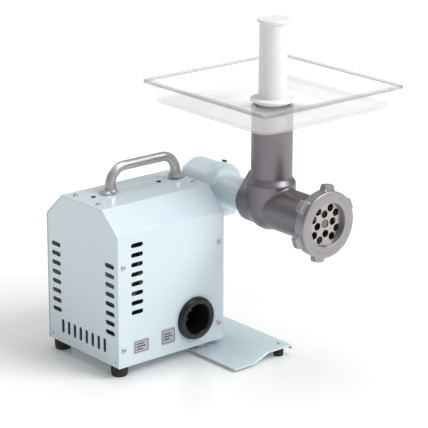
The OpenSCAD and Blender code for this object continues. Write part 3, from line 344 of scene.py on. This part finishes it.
def make_finishes():
    """One material for each of the record's slots, and the ones that only new pieces use."""
    c = colours()
    axis = centre_of("hole_plate")
    motor = centre_of("stator_core")
    return {
        "housing_paint": coat_of("housing_paint", tuple(c.housing)),
        "gearbox_paint": coat_of("gearbox_paint", tuple(c.gearbox), (0.26, 0.38), 240.0, 0.00014, 0.4, 0.5),
        "zinc_steel": brushed_metal("zinc_steel", (0.62, 0.62, 0.63), 2, (0.25, 0.4)),
        "handle_metal": cast_metal("handle_metal", tuple(c.handle), (0.34, 0.48), 1500.0, 0.00008, 0.9, 0.9),
        "foot_rubber": moulded("foot_rubber", (0.018, 0.018, 0.019), (0.55, 0.75), 900.0, 0.00015),
        "black_plastic": moulded("black_plastic", (0.010, 0.010, 0.011), (0.45, 0.6)),
        "bezel_plastic": moulded("bezel_plastic", (0.004, 0.004, 0.005), (0.28, 0.38), 700.0, 0.00001, 0.08),
        "contact_metal": brushed_metal("contact_metal", (0.75, 0.74, 0.70), 1, (0.18, 0.3)),
        "rocker_plastic": moulded("rocker_plastic", (0.36, 0.015, 0.01), (0.2, 0.32), coat=0.3),
        "badge_metal": brushed_metal("badge_metal", (0.55, 0.57, 0.60), 0, (0.28, 0.42), 0.9),
        "motor_casting": cast_metal("motor_casting", (0.45, 0.45, 0.46)),
        "lamination": laminated("lamination", (0.24, 0.25, 0.27)),
        "copper_wire": wound_copper("copper_wire", motor),
        "ground_steel": brushed_metal("ground_steel", (0.62, 0.62, 0.64), 0, (0.15, 0.28)),
        "capacitor_shell": moulded("capacitor_shell", (0.62, 0.62, 0.60), (0.25, 0.4)),
        "terminal_plastic": moulded("terminal_plastic", (0.68, 0.68, 0.65)),
        "earth_insulation": moulded("earth_insulation", (0.40, 0.55, 0.03), (0.3, 0.45), spread=0.45),
        "lead_insulation": moulded("lead_insulation", (0.75, 0.75, 0.76), (0.3, 0.45)),
        "bronze": brushed_metal("bronze", (0.52, 0.33, 0.12), 1, (0.28, 0.42)),
        "head_metal": cast_metal("head_metal", tuple(c.head), (0.34, 0.48), 1050.0, 0.00016, 0.85, 0.88),
        # The feed screw and the knife get a darker colour than their bare metal has: painted shade, so that
        # the holes of the hole plate look dark with these parts behind them.
        "feed_metal": cast_metal("feed_metal", (0.22, 0.22, 0.23), (0.34, 0.5)),
        "blade_steel": brushed_metal("blade_steel", (0.30, 0.30, 0.31), 0, (0.3, 0.45)),
        "plate_steel": ground_face("plate_steel", (0.46, 0.445, 0.435), axis, (0.22, 0.38)),
        # nut_metal is lighter than head_metal, partly as painted light on the nut's face.
        "nut_metal": cast_metal("nut_metal", tuple(c.nut), (0.36, 0.52), 1200.0, 0.00016, 0.85, 0.88),
        "clear_plastic": clear_plastic("clear_plastic", *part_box("tray"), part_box("tray")[0].z + 15 * MM),
        "white_plastic": moulded("white_plastic", tuple(c.pusher), (0.28, 0.42), 700.0, 0.00005,
                                 spread=0.985),
    }


FINISHES = {}


def dress(piece, slot):
    """Gives a piece its material and names the record's slot it stands for."""
    piece.data.materials.clear()
    piece.data.materials.append(FINISHES[slot].material)
    "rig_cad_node" not in piece
    return piece


# ---------------------------------------------------------------- surfaces
def rounded(corners, steps=5):
    """A line through corners (a, b, radius), each corner turned into an arc of its radius that is
    tangent to both sides. The arc's centre lies on the corner's bisector at radius / sin(half angle)."""
    corners = [np.array(c, float) for c in corners]
    line = []
    for i, corner in enumerate(corners):
        point, radius = corner[:2], corner[2]
        if radius <= 0 or i in (0, len(corners) - 1):
            line.append(point)
            continue
        back = corners[i - 1][:2] - point
        on = corners[i + 1][:2] - point
        back /= np.linalg.norm(back)
        on /= np.linalg.norm(on)
        half = math.acos(np.clip(back @ on, -1, 1)) / 2
        bisector = (back + on) / np.linalg.norm(back + on)
        centre = point + bisector * radius / math.sin(half)
        first = point + back * radius / math.tan(half) - centre
        last = point + on * radius / math.tan(half) - centre
        t = np.linspace(0, 1, steps + 1)[:, None]
        sweep = math.pi / 2 - half
        arc = np.sin((1 - t) * 2 * sweep) * first + np.sin(t * 2 * sweep) * last
        line.extend(centre + arc / math.sin(2 * sweep))
    return np.array(line)


def surface(name, points, wrap_u=False, wrap_v=False, smooth=40.0):
    """A mesh over a grid of points (u, v, 3), closed along u or v where asked. Rows that shrink to one
    point are merged into a pole, and the faces are turned outwards."""
    rows, columns = points.shape[:2]
    grid = np.arange(rows * columns).reshape(rows, columns)
    grid = np.concatenate([grid, grid[:1]], 0) if wrap_u else grid
    grid = np.concatenate([grid, grid[:, :1]], 1) if wrap_v else grid
    quads = np.stack([grid[:-1, :-1], grid[1:, :-1], grid[1:, 1:], grid[:-1, 1:]], -1).reshape(-1, 4)
    mesh = bpy.data.meshes.new(name)
    mesh.from_pydata(points.reshape(-1, 3).tolist(), [], quads.tolist())
    piece = bpy.data.objects.new(name, mesh)
    bpy.context.scene.collection.objects.link(piece)
    tidy(mesh, 1e-6)
    shade(mesh, smooth)
    return piece


def tidy(mesh, reach):
    """Merges points that lie within reach, drops faces without area and turns the rest outwards."""
    work = bmesh.new()
    work.from_mesh(mesh)
    bmesh.ops.remove_doubles(work, verts=work.verts, dist=reach)
    bmesh.ops.dissolve_degenerate(work, edges=work.edges, dist=reach)
    bmesh.ops.recalc_face_normals(work, faces=work.faces)
    work.to_mesh(mesh)
    work.free()


def shade(mesh, angle):
    """Smooth shading, with edges sharper than the angle kept crisp."""
    mesh.shade_smooth()
    mesh.set_sharp_from_angle(angle=math.radians(angle))


AXES = {"Z": ((1, 0, 0), (0, 1, 0), (0, 0, 1)), "-Y": ((1, 0, 0), (0, 0, 1), (0, -1, 0))}


def turned(name, profile, centre, axis, steps, swell=None):
    """A profile of (radius, height) carried round an axis: centre + radius * (cos t * e1 + sin t * e2)
    + height * axis. swell(t, radius, height) adds to the radius."""
    e1, e2, up = (np.array(v, float) for v in AXES[axis])
    t = np.linspace(0, 2 * math.pi, steps, endpoint=False)[None, :]
    radius, height = profile[:, :1], profile[:, 1:2]
    grown = radius + (swell(t, radius, height) if swell else 0 * t)
    ring = np.cos(t)[..., None] * e1 + np.sin(t)[..., None] * e2
    points = np.array(centre) + grown[..., None] * ring + height[..., None] * up
    return surface(name, points, wrap_v=True)


def loop(length, width, radius, arc=8, side=5):
    """A rectangle with round corners, walked once round: a quarter arc, then a straight side, four times."""
    a, b = length / 2 - radius, width / 2 - radius
    angle = np.linspace(0, math.pi / 2, arc, endpoint=False)
    corner = np.array([(a, b), (-a, b), (-a, -b), (a, -b)])
    line = []
    for i in range(4):
        turn = angle + i * math.pi / 2
        line.append(corner[i] + radius * np.stack([np.cos(turn), np.sin(turn)], 1))
        end = (i + 1) * math.pi / 2
        start = corner[i] + radius * np.array([math.cos(end), math.sin(end)])
        stop = corner[(i + 1) % 4] + radius * np.array([math.cos(end), math.sin(end)])
        line.append(start + np.linspace(0, 1, side, endpoint=False)[:, None] * (stop - start))
    return np.concatenate(line)


def circle_like(radius, arc=8, side=5):
    """A circle with as many points as loop() gives, and with the same bearings at the corners' middles."""
    first, last = 0.12, 0.88
    share = np.concatenate([np.linspace(first, last, arc, endpoint=False),
                            np.linspace(last, 1 + first, side, endpoint=False)])
    turn = np.concatenate([(share + i) * math.pi / 2 for i in range(4)])
    return radius * np.stack([np.cos(turn), np.sin(turn)], 1)


def swept(name, path, radii, sides):
    """A round tube along a path, of a radius given at each point. The ring at a point stands across the
    mean direction of its neighbours, and both ends are closed to a point."""
    path, radii = np.array(path, float), np.array(radii, float)
    along = np.gradient(path, axis=0)
    along /= np.linalg.norm(along, axis=1)[:, None]
    side = np.cross(along, (0.0, 1.0, 0.0))
    side /= np.linalg.norm(side, axis=1)[:, None]
    other = np.cross(along, side)
    t = np.linspace(0, 2 * math.pi, sides, endpoint=False)
    ring = np.cos(t)[None, :, None] * side[:, None] + np.sin(t)[None, :, None] * other[:, None]
    points = path[:, None] + radii[:, None, None] * ring
    ends = [np.repeat(path[i][None, None], sides, 1) for i in (0, -1)]
    return surface(name, np.concatenate([ends[0], points, ends[1]]), wrap_v=True)


def copied(node, name):
    """A new piece with a CAD node's own shape, its loose triangles merged into whole surfaces."""
    mesh = frame["nodes"][node].data.copy()
    mesh.name = name
    piece = bpy.data.objects.new(name, mesh)
    bpy.context.scene.collection.objects.link(piece)
    old_shading = ("sharp_edge", "sharp_face", "custom_normal")
    for attribute in [a.name for a in mesh.attributes if a.name in old_shading]:
        mesh.attributes.remove(mesh.attributes[attribute])
    tidy(mesh, 2e-6)
    return piece


def applied(piece, modifiers):
    """Adds modifiers (type, settings) and makes their result the piece's own mesh."""
    for kind, settings in modifiers:
        modifier = piece.modifiers.new(kind.title(), kind)
        for key, value in settings.items():
            setattr(modifier, key, value)
    graph = bpy.context.evaluated_depsgraph_get()
    finished = bpy.data.meshes.new_from_object(piece.evaluated_get(graph))
    piece.modifiers.clear()
    old, piece.data = piece.data, finished
    finished.name = old.name
    bpy.data.meshes.remove(old)
    return piece


def casting(node, name, grid, passes):
    """A CAD node rebuilt on an even grid and then smoothed, so that its edges and the lines where its
    cylinders meet become the soft fillets of a casting."""
    piece = copied(node, name)
    applied(piece, [
        ("REMESH", {"mode": "VOXEL", "voxel_size": grid, "use_smooth_shade": True}),
        ("SMOOTH", {"factor": 0.5, "iterations": passes}),
    ])
    piece.data.shade_smooth()
    return piece


def flattened(piece):
    """Joins the triangles of each flat face into one face."""
    work = bmesh.new()
    work.from_mesh(piece.data)
    bmesh.ops.dissolve_limit(work, angle_limit=math.radians(0.6), verts=work.verts, edges=work.edges)
    work.to_mesh(piece.data)
    work.free()
    return piece


def softened(node, name, width, folds=None, fold_width=0.0):
    """A CAD node with its edges rounded by width. folds(middle, length, direction) picks the long bends,
    which are rounded by fold_width instead. Edges between nearly level faces stay as they are."""
    piece = flattened(copied(node, name))
    mesh = piece.data
    ends = np.zeros(len(mesh.edges) * 2, int)
    mesh.edges.foreach_get("vertices", ends)
    place = np.zeros(len(mesh.vertices) * 3)
    mesh.vertices.foreach_get("co", place)
    place, ends = place.reshape(-1, 3), ends.reshape(-1, 2)
    a, b = place[ends[:, 0]], place[ends[:, 1]]
    work = bmesh.new()
    work.from_mesh(mesh)
    work.edges.ensure_lookup_table()
    level = math.radians(32)
    flat = np.array([len(e.link_faces) == 2 and e.calc_face_angle(0.0) < level for e in work.edges])
    work.free()
    weight = np.full(len(ends), width / max(fold_width, width))
    weight[flat] = 0.0
    if folds:
        span = b - a
        length = np.linalg.norm(span, axis=1)
        weight[folds((a + b) / 2, length, np.abs(span) / np.maximum(length, 1e-9)[:, None])] = 1.0
    weights = mesh.attributes.new("bevel_weight_edge", "FLOAT", "EDGE")
    weights.data.foreach_set("value", weight.astype(np.float32))
    bevel = piece.modifiers.new("Edges", "BEVEL")
    bevel.limit_method = "WEIGHT"
    bevel.width = max(fold_width, width)
    bevel.segments = 3
    bevel.use_clamp_overlap = True
    bevel.harden_normals = True
    shade(mesh, 40)
    return piece


def on(piece, body, slot, *nodes):
    """Dresses a piece, lets it ride on a body and hides the CAD nodes that it stands for."""
    dress(piece, slot)
    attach(piece, body)
    if nodes:
        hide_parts(*nodes)
    return piece


def joined(name, parts):
    """Several pieces as one mesh."""
    work = bmesh.new()
    for part in parts:
        work.from_mesh(part.data)
    mesh = bpy.data.meshes.new(name)
    work.to_mesh(mesh)
    work.free()
    for part in parts:
        bpy.data.objects.remove(part)
    piece = bpy.data.objects.new(name, mesh)
    bpy.context.scene.collection.objects.link(piece)
    shade(mesh, 40)
    return piece


# ---------------------------------------------------------------- pieces
def build_cabinet():
    """The cabinet's covers and panels, with rounded folds and cut edges."""
    s = sizes()
    low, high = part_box("front_cover")
    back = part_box("rear_cover")[1]

    def folds(middle, length, direction):
        """Long edges along the cabinet, on the outer skin: not at the cut ends or the bottom."""
        near = 0.0001
        y, z = middle[:, 1], middle[:, 2]
        along = (direction[:, 0] > 0.99) & (length > 0.15)
        outer = (y < low.y + near) | (y > back.y - near) | (z > high.z - near)
        seam = np.abs(y - high.y) < 0.002
        return along & outer & (z > low.z + 0.01) & ~seam

    for node in ("front_cover", "rear_cover"):
        on(softened(node, node + "_skin", s.edge, folds, s.fold), "cabinet", "housing_paint", node)
    for node in ("end_panel", "drive_end_panel"):
        on(softened(node, node + "_skin", s.edge), "cabinet", "housing_paint", node)


def build_bracket():
    """The bent steel support under the gearbox: a section with rounded bends carried along Y."""
    low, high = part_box("support_bracket")
    sheet = 2.5 * MM
    floor, strip = low.z + sheet / 2, high.z - sheet / 2
    x0, x1 = low.x, high.x
    lip = 6 * MM
    width = 46 * MM
    middle = rounded([(x0, floor, 0), (x0 + 37.6 * MM, floor, 9 * MM), (x1 - width - 2.6 * MM, strip, 9 * MM),
                      (x1 - sheet / 2, strip, 2.4 * MM), (x1 - sheet / 2, strip - lip, 0)], 8)
    along = np.gradient(middle, axis=0)
    across = np.stack([-along[:, 1], along[:, 0]], 1) / np.linalg.norm(along, axis=1)[:, None] * sheet / 2
    outline = np.concatenate([middle + across, (middle - across)[::-1]])
    inset = 0.4 * MM
    stations = [low.y, low.y, low.y + inset, high.y - inset, high.y, high.y]
    shrink = [0.0, 0.7, 1.0, 1.0, 0.7, 0.0]
    core = np.concatenate([middle, middle[::-1]])
    rows = [np.stack([core[:, 0] + (outline[:, 0] - core[:, 0]) * k, np.full(len(core), y),
                      core[:, 1] + (outline[:, 1] - core[:, 1]) * k], 1) for y, k in zip(stations, shrink)]
    on(surface("bracket_sheet", np.array(rows), wrap_v=True), "cabinet", "housing_paint", "support_bracket")


def build_handle():
    """Cast handle: a tube whose legs flare into flat pads, run together into one casting."""
    low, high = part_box("handle")
    radius = 7.3 * MM
    bend = 26 * MM
    y = (low.y + high.y) / 2
    grip = high.z - radius
    pad = 22 * MM
    x0, x1 = low.x + pad / 2 + 6 * MM, high.x - pad / 2 - 6 * MM
    line = rounded([(x0, low.z + 2 * MM, 0), (x0, grip, bend), (x1, grip, bend), (x1, low.z + 2 * MM, 0)], 16)
    dense = []
    for a, b in zip(line[:-1], line[1:]):
        count = max(2, int(np.linalg.norm(b - a) / (2 * MM)))
        dense.append(a + np.linspace(0, 1, count, endpoint=False)[:, None] * (b - a))
    line = np.concatenate(dense + [line[-1:]])
    rise = line[:, 1] - low.z
    flare = 1 + 0.55 * np.exp(-np.maximum(rise - 4 * MM, 0) / (7 * MM))
    tube = swept("tube", np.stack([line[:, 0], np.full(len(line), y), line[:, 1]], 1), radius * flare, 32)
    pads = []
    for x in (low.x + pad / 2, high.x - pad / 2):
        rows = []
        for z, k in ((0, 0.0), (0, 0.94), (0.6, 1.0), (3.6, 1.0), (4.4, 0.95), (4.6, 0.85), (4.6, 0.0)):
            ring = loop(pad * k, 18 * MM * k, 7 * MM * k) if k else np.zeros((52, 2))
            rows.append(np.column_stack([ring + (x, y), np.full(len(ring), low.z + z * MM)]))
        pads.append(surface("pad", np.array(rows), wrap_v=True))
    piece = joined("handle_casting", [tube, *pads])
    applied(piece, [("REMESH", {"mode": "VOXEL", "voxel_size": 0.8 * MM, "use_smooth_shade": True}),
                    ("SMOOTH", {"factor": 0.5, "iterations": 5})])
    piece.data.shade_smooth()
    on(piece, "cabinet", "handle_metal", "handle")


def build_feet():
    """The cabinet's own rubber feet on its near side: turned, with round edges and a sunk screw hole."""
    hole = 2.1 * MM
    sunk = 4.5 * MM

    def foot(x, y, height, radius):
        sink = min(height * 0.55, 8 * MM)
        unit = MM * min(0.9, height / radius)
        profile = rounded([(hole, height, 0), (radius, height, 0.9 * unit),
                           (radius, height * 0.34, 1.2 * unit), (radius * 0.9, 0, 1.4 * unit),
                           (sunk, 0, 0.6 * unit), (sunk, sink, 0.3 * unit), (hole, sink, 0),
                           (hole, height, 0)])
        return turned("foot", profile, (x, y, 0), "Z", 48)

    low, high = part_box("near_feet")
    radius = 12.8 * MM
    near = [foot(low.x + radius, y, high.z, radius) for y in (low.y + radius, high.y - radius)]
    on(joined("near_feet_rubber", near), "cabinet", "foot_rubber", "near_feet")


def build_inlet():
    """The mains inlet's bezel, with a flat foot, a sloping side and a round opening."""
    low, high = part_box("inlet_bezel")
    centre = ((low.x + high.x) / 2, high.y, (low.z + high.z) / 2)
    outer = (high.x - low.x) / 2
    inner = 21.5 * MM
    depth = high.y - low.y
    profile = rounded([(inner, 0, 0), (outer, 0, 0.3 * MM), (outer, 2.1 * MM, 1.2 * MM),
                       (outer - 1.9 * MM, depth, 3.0 * MM), (inner + 2.2 * MM, depth, 3.2 * MM),
                       (inner, 1.6 * MM, 1.2 * MM), (inner, 0, 0)], 7)
    on(turned("inlet_ring", profile, centre, "-Y", 128), "cabinet", "bezel_plastic", "inlet_bezel")


def build_labels():
    """Two thin plates on the front cover, each with a plain frame and plain bars in dark lacquer."""
    on(softened("blank_plates", "blank_plates_skin", 0.15 * MM), "cabinet", "badge_metal", "blank_plates")
    low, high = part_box("blank_plates")
    marks = []

    def bar(x, z, length, height):
        rows = []
        for k, h in ((0.0, 0.02), (1.0, 0.02), (1.0, -0.04), (0.0, -0.04)):
            ring = loop(length * k + 1e-9, height * k + 1e-9, 0.2 * min(length, height) * k, 3, 1)
            rows.append(np.stack([x + ring[:, 0], np.full(len(ring), low.y - h * MM), z + ring[:, 1]], 1))
        marks.append(surface("mark", np.array(rows), wrap_v=True))

    for x, z, length, height in ((high.x - 13 * MM, high.z - 12 * MM, 26 * MM, 24 * MM),
                                 (low.x + 14 * MM, low.z + 10 * MM, 28 * MM, 20 * MM)):
        for k in (-1, 1):
            bar(x, z + k * (height / 2 - 1.8 * MM), length - 3 * MM, 0.7 * MM)
            bar(x + k * (length / 2 - 1.8 * MM), z, 0.7 * MM, height - 4.4 * MM)
        for k, share in ((-1, 0.42), (0, 0.62), (1, 0.5)):
            bar(x - (0.66 - share) * length / 2, z + k * 4.2 * MM, length * share, 1.7 * MM)
    on(joined("plate_marks", marks), "cabinet", "black_plastic")


def build_ring_nut():
    """Ring nut: a turned profile whose outer rows swell into six lugs, plus a ring of plain raised bars."""
    s = sizes()
    low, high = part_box("ring_nut")
    plate_low, plate_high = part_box("hole_plate")
    centre = np.array([(plate_low.x + plate_high.x) / 2, high.y, (plate_low.z + plate_high.z) / 2])
    depth = high.y - low.y
    face = depth - 0.5 * MM
    outlet = next(m for m in frame["record"]["mounts"] if m["name"] == "outlet")["dims"]["r_mm"] * MM
    pocket = (plate_high.x - plate_low.x) / 2 + 0.4 * MM
    seat = depth - outlet_lip()
    bore = 42.1 * MM
    ledge = 9.8 * MM
    outer = 50 * MM
    lug = 8 * MM
    turn = math.radians(21)
    start = depth - 7 * MM

    def swell(t, radius, height):
        """Height of a lug: full over its crown, falling smoothly on both flanks and towards the face."""
        nearest = (t - turn + math.pi / 6) % (math.pi / 3) - math.pi / 6
        crown = np.clip((math.radians(12.6) - np.abs(nearest)) / math.radians(4.8), 0, 1)
        crown = crown * crown * (3 - 2 * crown)
        reach = np.clip((start - height) / (2 * MM), 0, 1)
        shell = np.clip((radius - (outer - 1.6 * MM)) / (1.2 * MM), 0, 1)
        return lug * crown * reach * reach * (3 - 2 * reach) * shell

    side = [(outer, h, 0) for h in np.linspace(2.2 * MM, start - 2.4 * MM, 7)]
    side += [(outer, h, 0) for h in np.linspace(start - 2 * MM, start, 7)]
    profile = rounded([(bore, 0, 0), (bore + 0.8 * MM, 0, 0), (outer, 0, 1.6 * MM), *side,
                       (outer, face, 1.8 * MM), (outlet, face, 1.2 * MM), (outlet, seat, 0.3 * MM),
                       (pocket, seat, 0.3 * MM), (pocket, ledge, 0), (bore, ledge, 0.3 * MM),
                       (bore, 0, 0)], 5)
    nut = turned("ring_nut_casting", profile, centre, "-Y", s.nut_steps, swell)
    on(nut, "nut", "nut_metal", "ring_nut")
    bars = []
    count = 40
    circle, length, width = 42.5 * MM, 4.6 * MM, 1.2 * MM
    gap_at_top = 0.5
    for i in range(count):
        a = 2 * math.pi * (i + 0.5) / count
        if abs((a - math.pi / 2 + math.pi) % (2 * math.pi) - math.pi) < gap_at_top:
            continue
        out = np.array([math.cos(a), 0, math.sin(a)])
        side_way = np.array([-math.sin(a), 0, math.cos(a)])
        rows = []
        for k, h in ((0.0, -0.8), (1.0, -0.8), (1.0, -0.25), (0.6, 0.0), (0.0, 0.0)):
            ring = loop(length * max(k, 1e-6), width * k + 1e-9, 0.5 * MM * k, 3, 1)
            base = centre + out * circle + np.array([0, -depth, 0])
            rows.append(base + ring[:, :1] * out + ring[:, 1:] * side_way + np.array([0, -h * MM, 0]))
        bars.append(surface("bar", np.array(rows), wrap_v=True))
    on(joined("nut_face_bars", bars), "nut", "nut_metal")


def outlet_lip():
    """Thickness of the ring nut's lip: how far its face stands in front of the hole plate."""
    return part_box("hole_plate")[0].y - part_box("ring_nut")[0].y


def build_head():
    """The mincing head's casting, with soft fillets."""
    on(casting("head_casting", "head_cast", sizes().cast_grid, 5), "head", "head_metal", "head_casting")


def build_gearbox():
    """The gearbox casting with soft fillets, and its covers with round edges."""
    body = casting("gearbox_housing", "gearbox_cast", sizes().cast_grid, 4)
    on(body, "cabinet", "gearbox_paint", "gearbox_housing")
    for node in ("gearbox_cover", "worm_cap"):
        on(softened(node, node + "_skin", 0.6 * MM), "cabinet", "gearbox_paint", node)


def build_plate():
    """The hole plate with fine edge rounds."""
    on(softened("hole_plate", "hole_plate_ground", 0.25 * MM), "plate", "plate_steel", "hole_plate")


def build_tray():
    """The clear tray: rows of rounded rectangles and circles from the spout's foot, out under the floor,
    up the sides, over the rim, down the inside and back down the spout."""
    s = sizes()
    low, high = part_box("tray")
    centre = (low + high) / 2
    length, width = high.x - low.x, high.y - low.y
    rim = 4 * MM
    wall = s.tray_wall
    base = low.z + 15 * MM
    spout = 25.6 * MM
    bore = 23.6 * MM
    draft = 5 * MM
    lip = 1.4 * MM

    def flat(inset, z):
        """A row at an inset from the tray's outer edge: nearly square at the rim, round at the walls."""
        radius = float(np.interp(inset, [0.0, lip, rim], [4 * MM, 2.6 * MM, 20 * MM]))
        return loop(length - 2 * inset, width - 2 * inset, radius), z

    side = rounded([(60 * MM, base, 0), (rim + draft, base, 7 * MM), (rim, high.z - 2.2 * MM, 0.8 * MM),
                    (lip, high.z - 2.2 * MM, 0.4 * MM), (lip, high.z - 5 * MM, 0.0)], 6)
    edge = rounded([(0.0, high.z - 5 * MM, 0), (0.0, high.z, 1.0 * MM), (rim + wall, high.z, 1.2 * MM),
                    (rim + draft + wall, base + 3 * MM, 5 * MM), (60 * MM, base + 3 * MM, 0)], 6)
    down = [(spout, low.z), (spout, base - 1.5 * MM), (spout + 1.5 * MM, base)]
    back = [(bore + 1.2 * MM, base + 3 * MM), (bore, base + 1.8 * MM), (bore, low.z)]
    rows = [(circle_like(radius), z) for radius, z in down]
    rows += [flat(inset, z) for inset, z in (*side, *edge)]
    rows += [(circle_like(radius), z) for radius, z in back]
    points = np.array([np.column_stack([xy + (centre.x, centre.y), np.full(len(xy), z)]) for xy, z in rows])
    tray = surface("clear_tray", points, wrap_u=True, wrap_v=True, smooth=50)
    on(tray, "tray", "clear_plastic", "tray")


def build_pusher():
    """The pusher: a turned shaft with a knob, a stepped flange and rounded edges."""
    low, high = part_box("pusher")
    x, y = (low.x + high.x) / 2, (low.y + high.y) / 2
    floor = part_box("tray")[0].z + 18 * MM
    r, flange, ring, knob = 21 * MM, 33 * MM, 24.5 * MM, 24.5 * MM
    top = high.z
    profile = rounded([(0, low.z, 0), (r, low.z, 2 * MM), (r, floor, 0.2 * MM), (ring, floor, 0.6 * MM),
                       (ring, floor + 4.5 * MM, 0.4 * MM), (flange, floor + 4.5 * MM, 1.2 * MM),
                       (flange, floor + 8.5 * MM, 1.4 * MM), (r, floor + 8.5 * MM, 2 * MM),
                       (r, top - 4.5 * MM, 0.6 * MM), (knob, top - 4.5 * MM, 0.9 * MM), (knob, top, 1.3 * MM),
                       (knob - 3.2 * MM, top, 0.5 * MM), (knob - 3.6 * MM, top - 0.5 * MM, 0.3 * MM),
                       (0, top - 0.5 * MM, 0)], 6)
    on(turned("white_pusher", profile, (x, y, 0), "Z", 96), "pusher", "white_plastic", "pusher")


def dress_nodes():
    """Gives every CAD node that stays in view the material of its slot."""
    for row in frame["record"]["subparts"]:
        dress(frame["nodes"][row["node"]], row["material_slot"])


# ---------------------------------------------------------------- stage
def build_stage():
    """A pale floor, soft lights and the camera."""
    scene = bpy.context.scene
    scene.view_settings.view_transform = "Standard"
    world = bpy.data.worlds.new("studio")
    world.use_nodes = True
    world.node_tree.nodes["Background"].inputs["Color"].default_value = (1.0, 0.995, 0.985, 1)
    world.node_tree.nodes["Background"].inputs["Strength"].default_value = 0.33
    scene.world = world
    half = 14.0
    t = np.linspace(-half, half, 3)
    x, y = np.meshgrid(t, t, indexing="ij")
    floor = surface("floor", np.stack([x, y, np.full_like(x, 0.0)], -1))
    floor_finish = Finish("floor_sheet", Specular_IOR_Level=0.5, Emission_Strength=1.0)
    tone = floor_finish.noise(1.2, 2.0)
    floor_finish.feed("Base Color", floor_finish.mixed(tone, (0.90, 0.895, 0.885), (0.92, 0.915, 0.905)))
    floor_finish.feed("Roughness", floor_finish.between(floor_finish.noise(3.0), 0.14, 0.20))
    away = floor_finish.node("ShaderNodeVectorMath", {"operation": "LENGTH"}, {0: floor_finish.place}, 1)
    glow = floor_finish.step(away, 0.25, 1.4)
    floor_finish.feed("Emission Color", floor_finish.mixed(glow, (0.05, 0.05, 0.05), (0.50, 0.50, 0.495)))
    floor.data.materials.append(floor_finish.material)
    low, high = CAD_BOX
    middle = (low + high) / 2
    for name, place, power, size in (
        ("key", (1.5, -2.6, 3.0), 150.0, 2.2),
        ("fill", (-2.6, -1.6, 1.9), 3.0, 2.2),
        ("top", (0.2, 0.2, 3.4), 40.0, 2.4),
        ("back", (-0.4, 3.0, 1.8), 12.0, 1.6),
    ):
        light = bpy.data.lights.new(name, "AREA")
        light.energy = power
        light.size = size
        lamp = bpy.data.objects.new(name, light)
        lamp.location = middle + Vector(place)
        lamp.rotation_euler = (middle - lamp.location).to_track_quat("-Z", "Y").to_euler()
        scene.collection.objects.link(lamp)
    build_camera()


def build_camera():
    """The camera, placed so that the cabinet's near lower corner falls at a chosen spot of the frame."""
    azimuth, elevation, roll = math.radians(-40.3), math.radians(17.9), math.radians(0.2)
    frame_size = 428.0
    focal = 2000.0
    distance = 2.938
    across, down = -94.9, 155.6
    level = math.cos(elevation)
    back = Vector((math.sin(azimuth) * level, -math.cos(azimuth) * level, math.sin(elevation)))
    right = Vector((math.cos(azimuth), math.sin(azimuth), 0.0))
    up = back.cross(right)
    corner = Vector(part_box("front_cover")[0])
    data = bpy.data.cameras.new("camera")
    data.sensor_width = 36.0
    data.lens = focal / frame_size * data.sensor_width
    data.clip_end = 100.0
    camera = bpy.data.objects.new("camera", data)
    turn_right = right * math.cos(roll) + up * math.sin(roll)
    turn_up = up * math.cos(roll) - right * math.sin(roll)
    sideways = turn_right * across / focal * distance
    upwards = turn_up * down / focal * distance
    camera.location = corner - sideways + upwards + back * distance
    camera.rotation_mode = "QUATERNION"
    matrix = np.array([turn_right, turn_up, back]).T
    camera.rotation_quaternion = Matrix(matrix.tolist()).to_quaternion()
    bpy.context.scene.collection.objects.link(camera)
    bpy.context.scene.camera = camera


# ---------------------------------------------------------------- operators
def operator(label, name, work, words):
    """An operator class that runs one builder."""

    def execute(self, context):
        work()
        return {"FINISHED"}

    return type("GRINDER_OT_" + name, (bpy.types.Operator,), {
        "__doc__": words, "bl_idname": "grinder." + name, "bl_label": label, "execute": execute})


OPERATORS = [
    operator("Dress nodes", "dress_nodes", dress_nodes, "Give each CAD node the material of its slot"),
    operator("Cabinet", "cabinet", build_cabinet, "Build the cabinet's covers and panels"),
    operator("Bracket", "bracket", build_bracket, "Build the bent support bracket"),
    operator("Handle", "handle", build_handle, "Build the cast handle"),
    operator("Feet", "feet", build_feet, "Build the rubber feet"),
    operator("Inlet", "inlet", build_inlet, "Build the mains inlet"),
    operator("Labels", "labels", build_labels, "Build the plain plates on the front"),
    operator("Gearbox", "gearbox", build_gearbox, "Build the gearbox casting"),
    operator("Head", "head", build_head, "Build the mincing head"),
    operator("Plate", "plate", build_plate, "Build the hole plate"),
    operator("Ring nut", "ring_nut", build_ring_nut, "Build the ring nut"),
    operator("Tray", "tray", build_tray, "Build the clear tray"),
    operator("Pusher", "pusher", build_pusher, "Build the pusher"),
    operator("Stage", "stage", build_stage, "Build the floor, the lights and the camera"),
]


class GRINDER_PT_panel(bpy.types.Panel):
    """Lists the grinder's builders."""

    bl_label = "Grinder"
    bl_idname = "GRINDER_PT_panel"
    bl_space_type = "VIEW_3D"
    bl_region_type = "UI"
    bl_category = "Grinder"

    def draw(self, context):
        for made in OPERATORS:
            self.layout.operator(made.bl_idname)


CLASSES = [GrinderColours, GrinderSizes, *OPERATORS, GRINDER_PT_panel]


def register():
    for made in CLASSES:
        bpy.utils.register_class(made)
    bpy.types.Scene.grinder_colours = PointerProperty(type=GrinderColours)
    bpy.types.Scene.grinder_sizes = PointerProperty(type=GrinderSizes)


def unregister():
    del bpy.types.Scene.grinder_colours
    del bpy.types.Scene.grinder_sizes
    for made in reversed(CLASSES):
        bpy.utils.unregister_class(made)


def main():
    register()
    FINISHES.update(make_finishes())
    for made in OPERATORS:
        group, name = made.bl_idname.split(".")
        getattr(getattr(bpy.ops, group), name)()


if __name__ == "__main__":
    main()
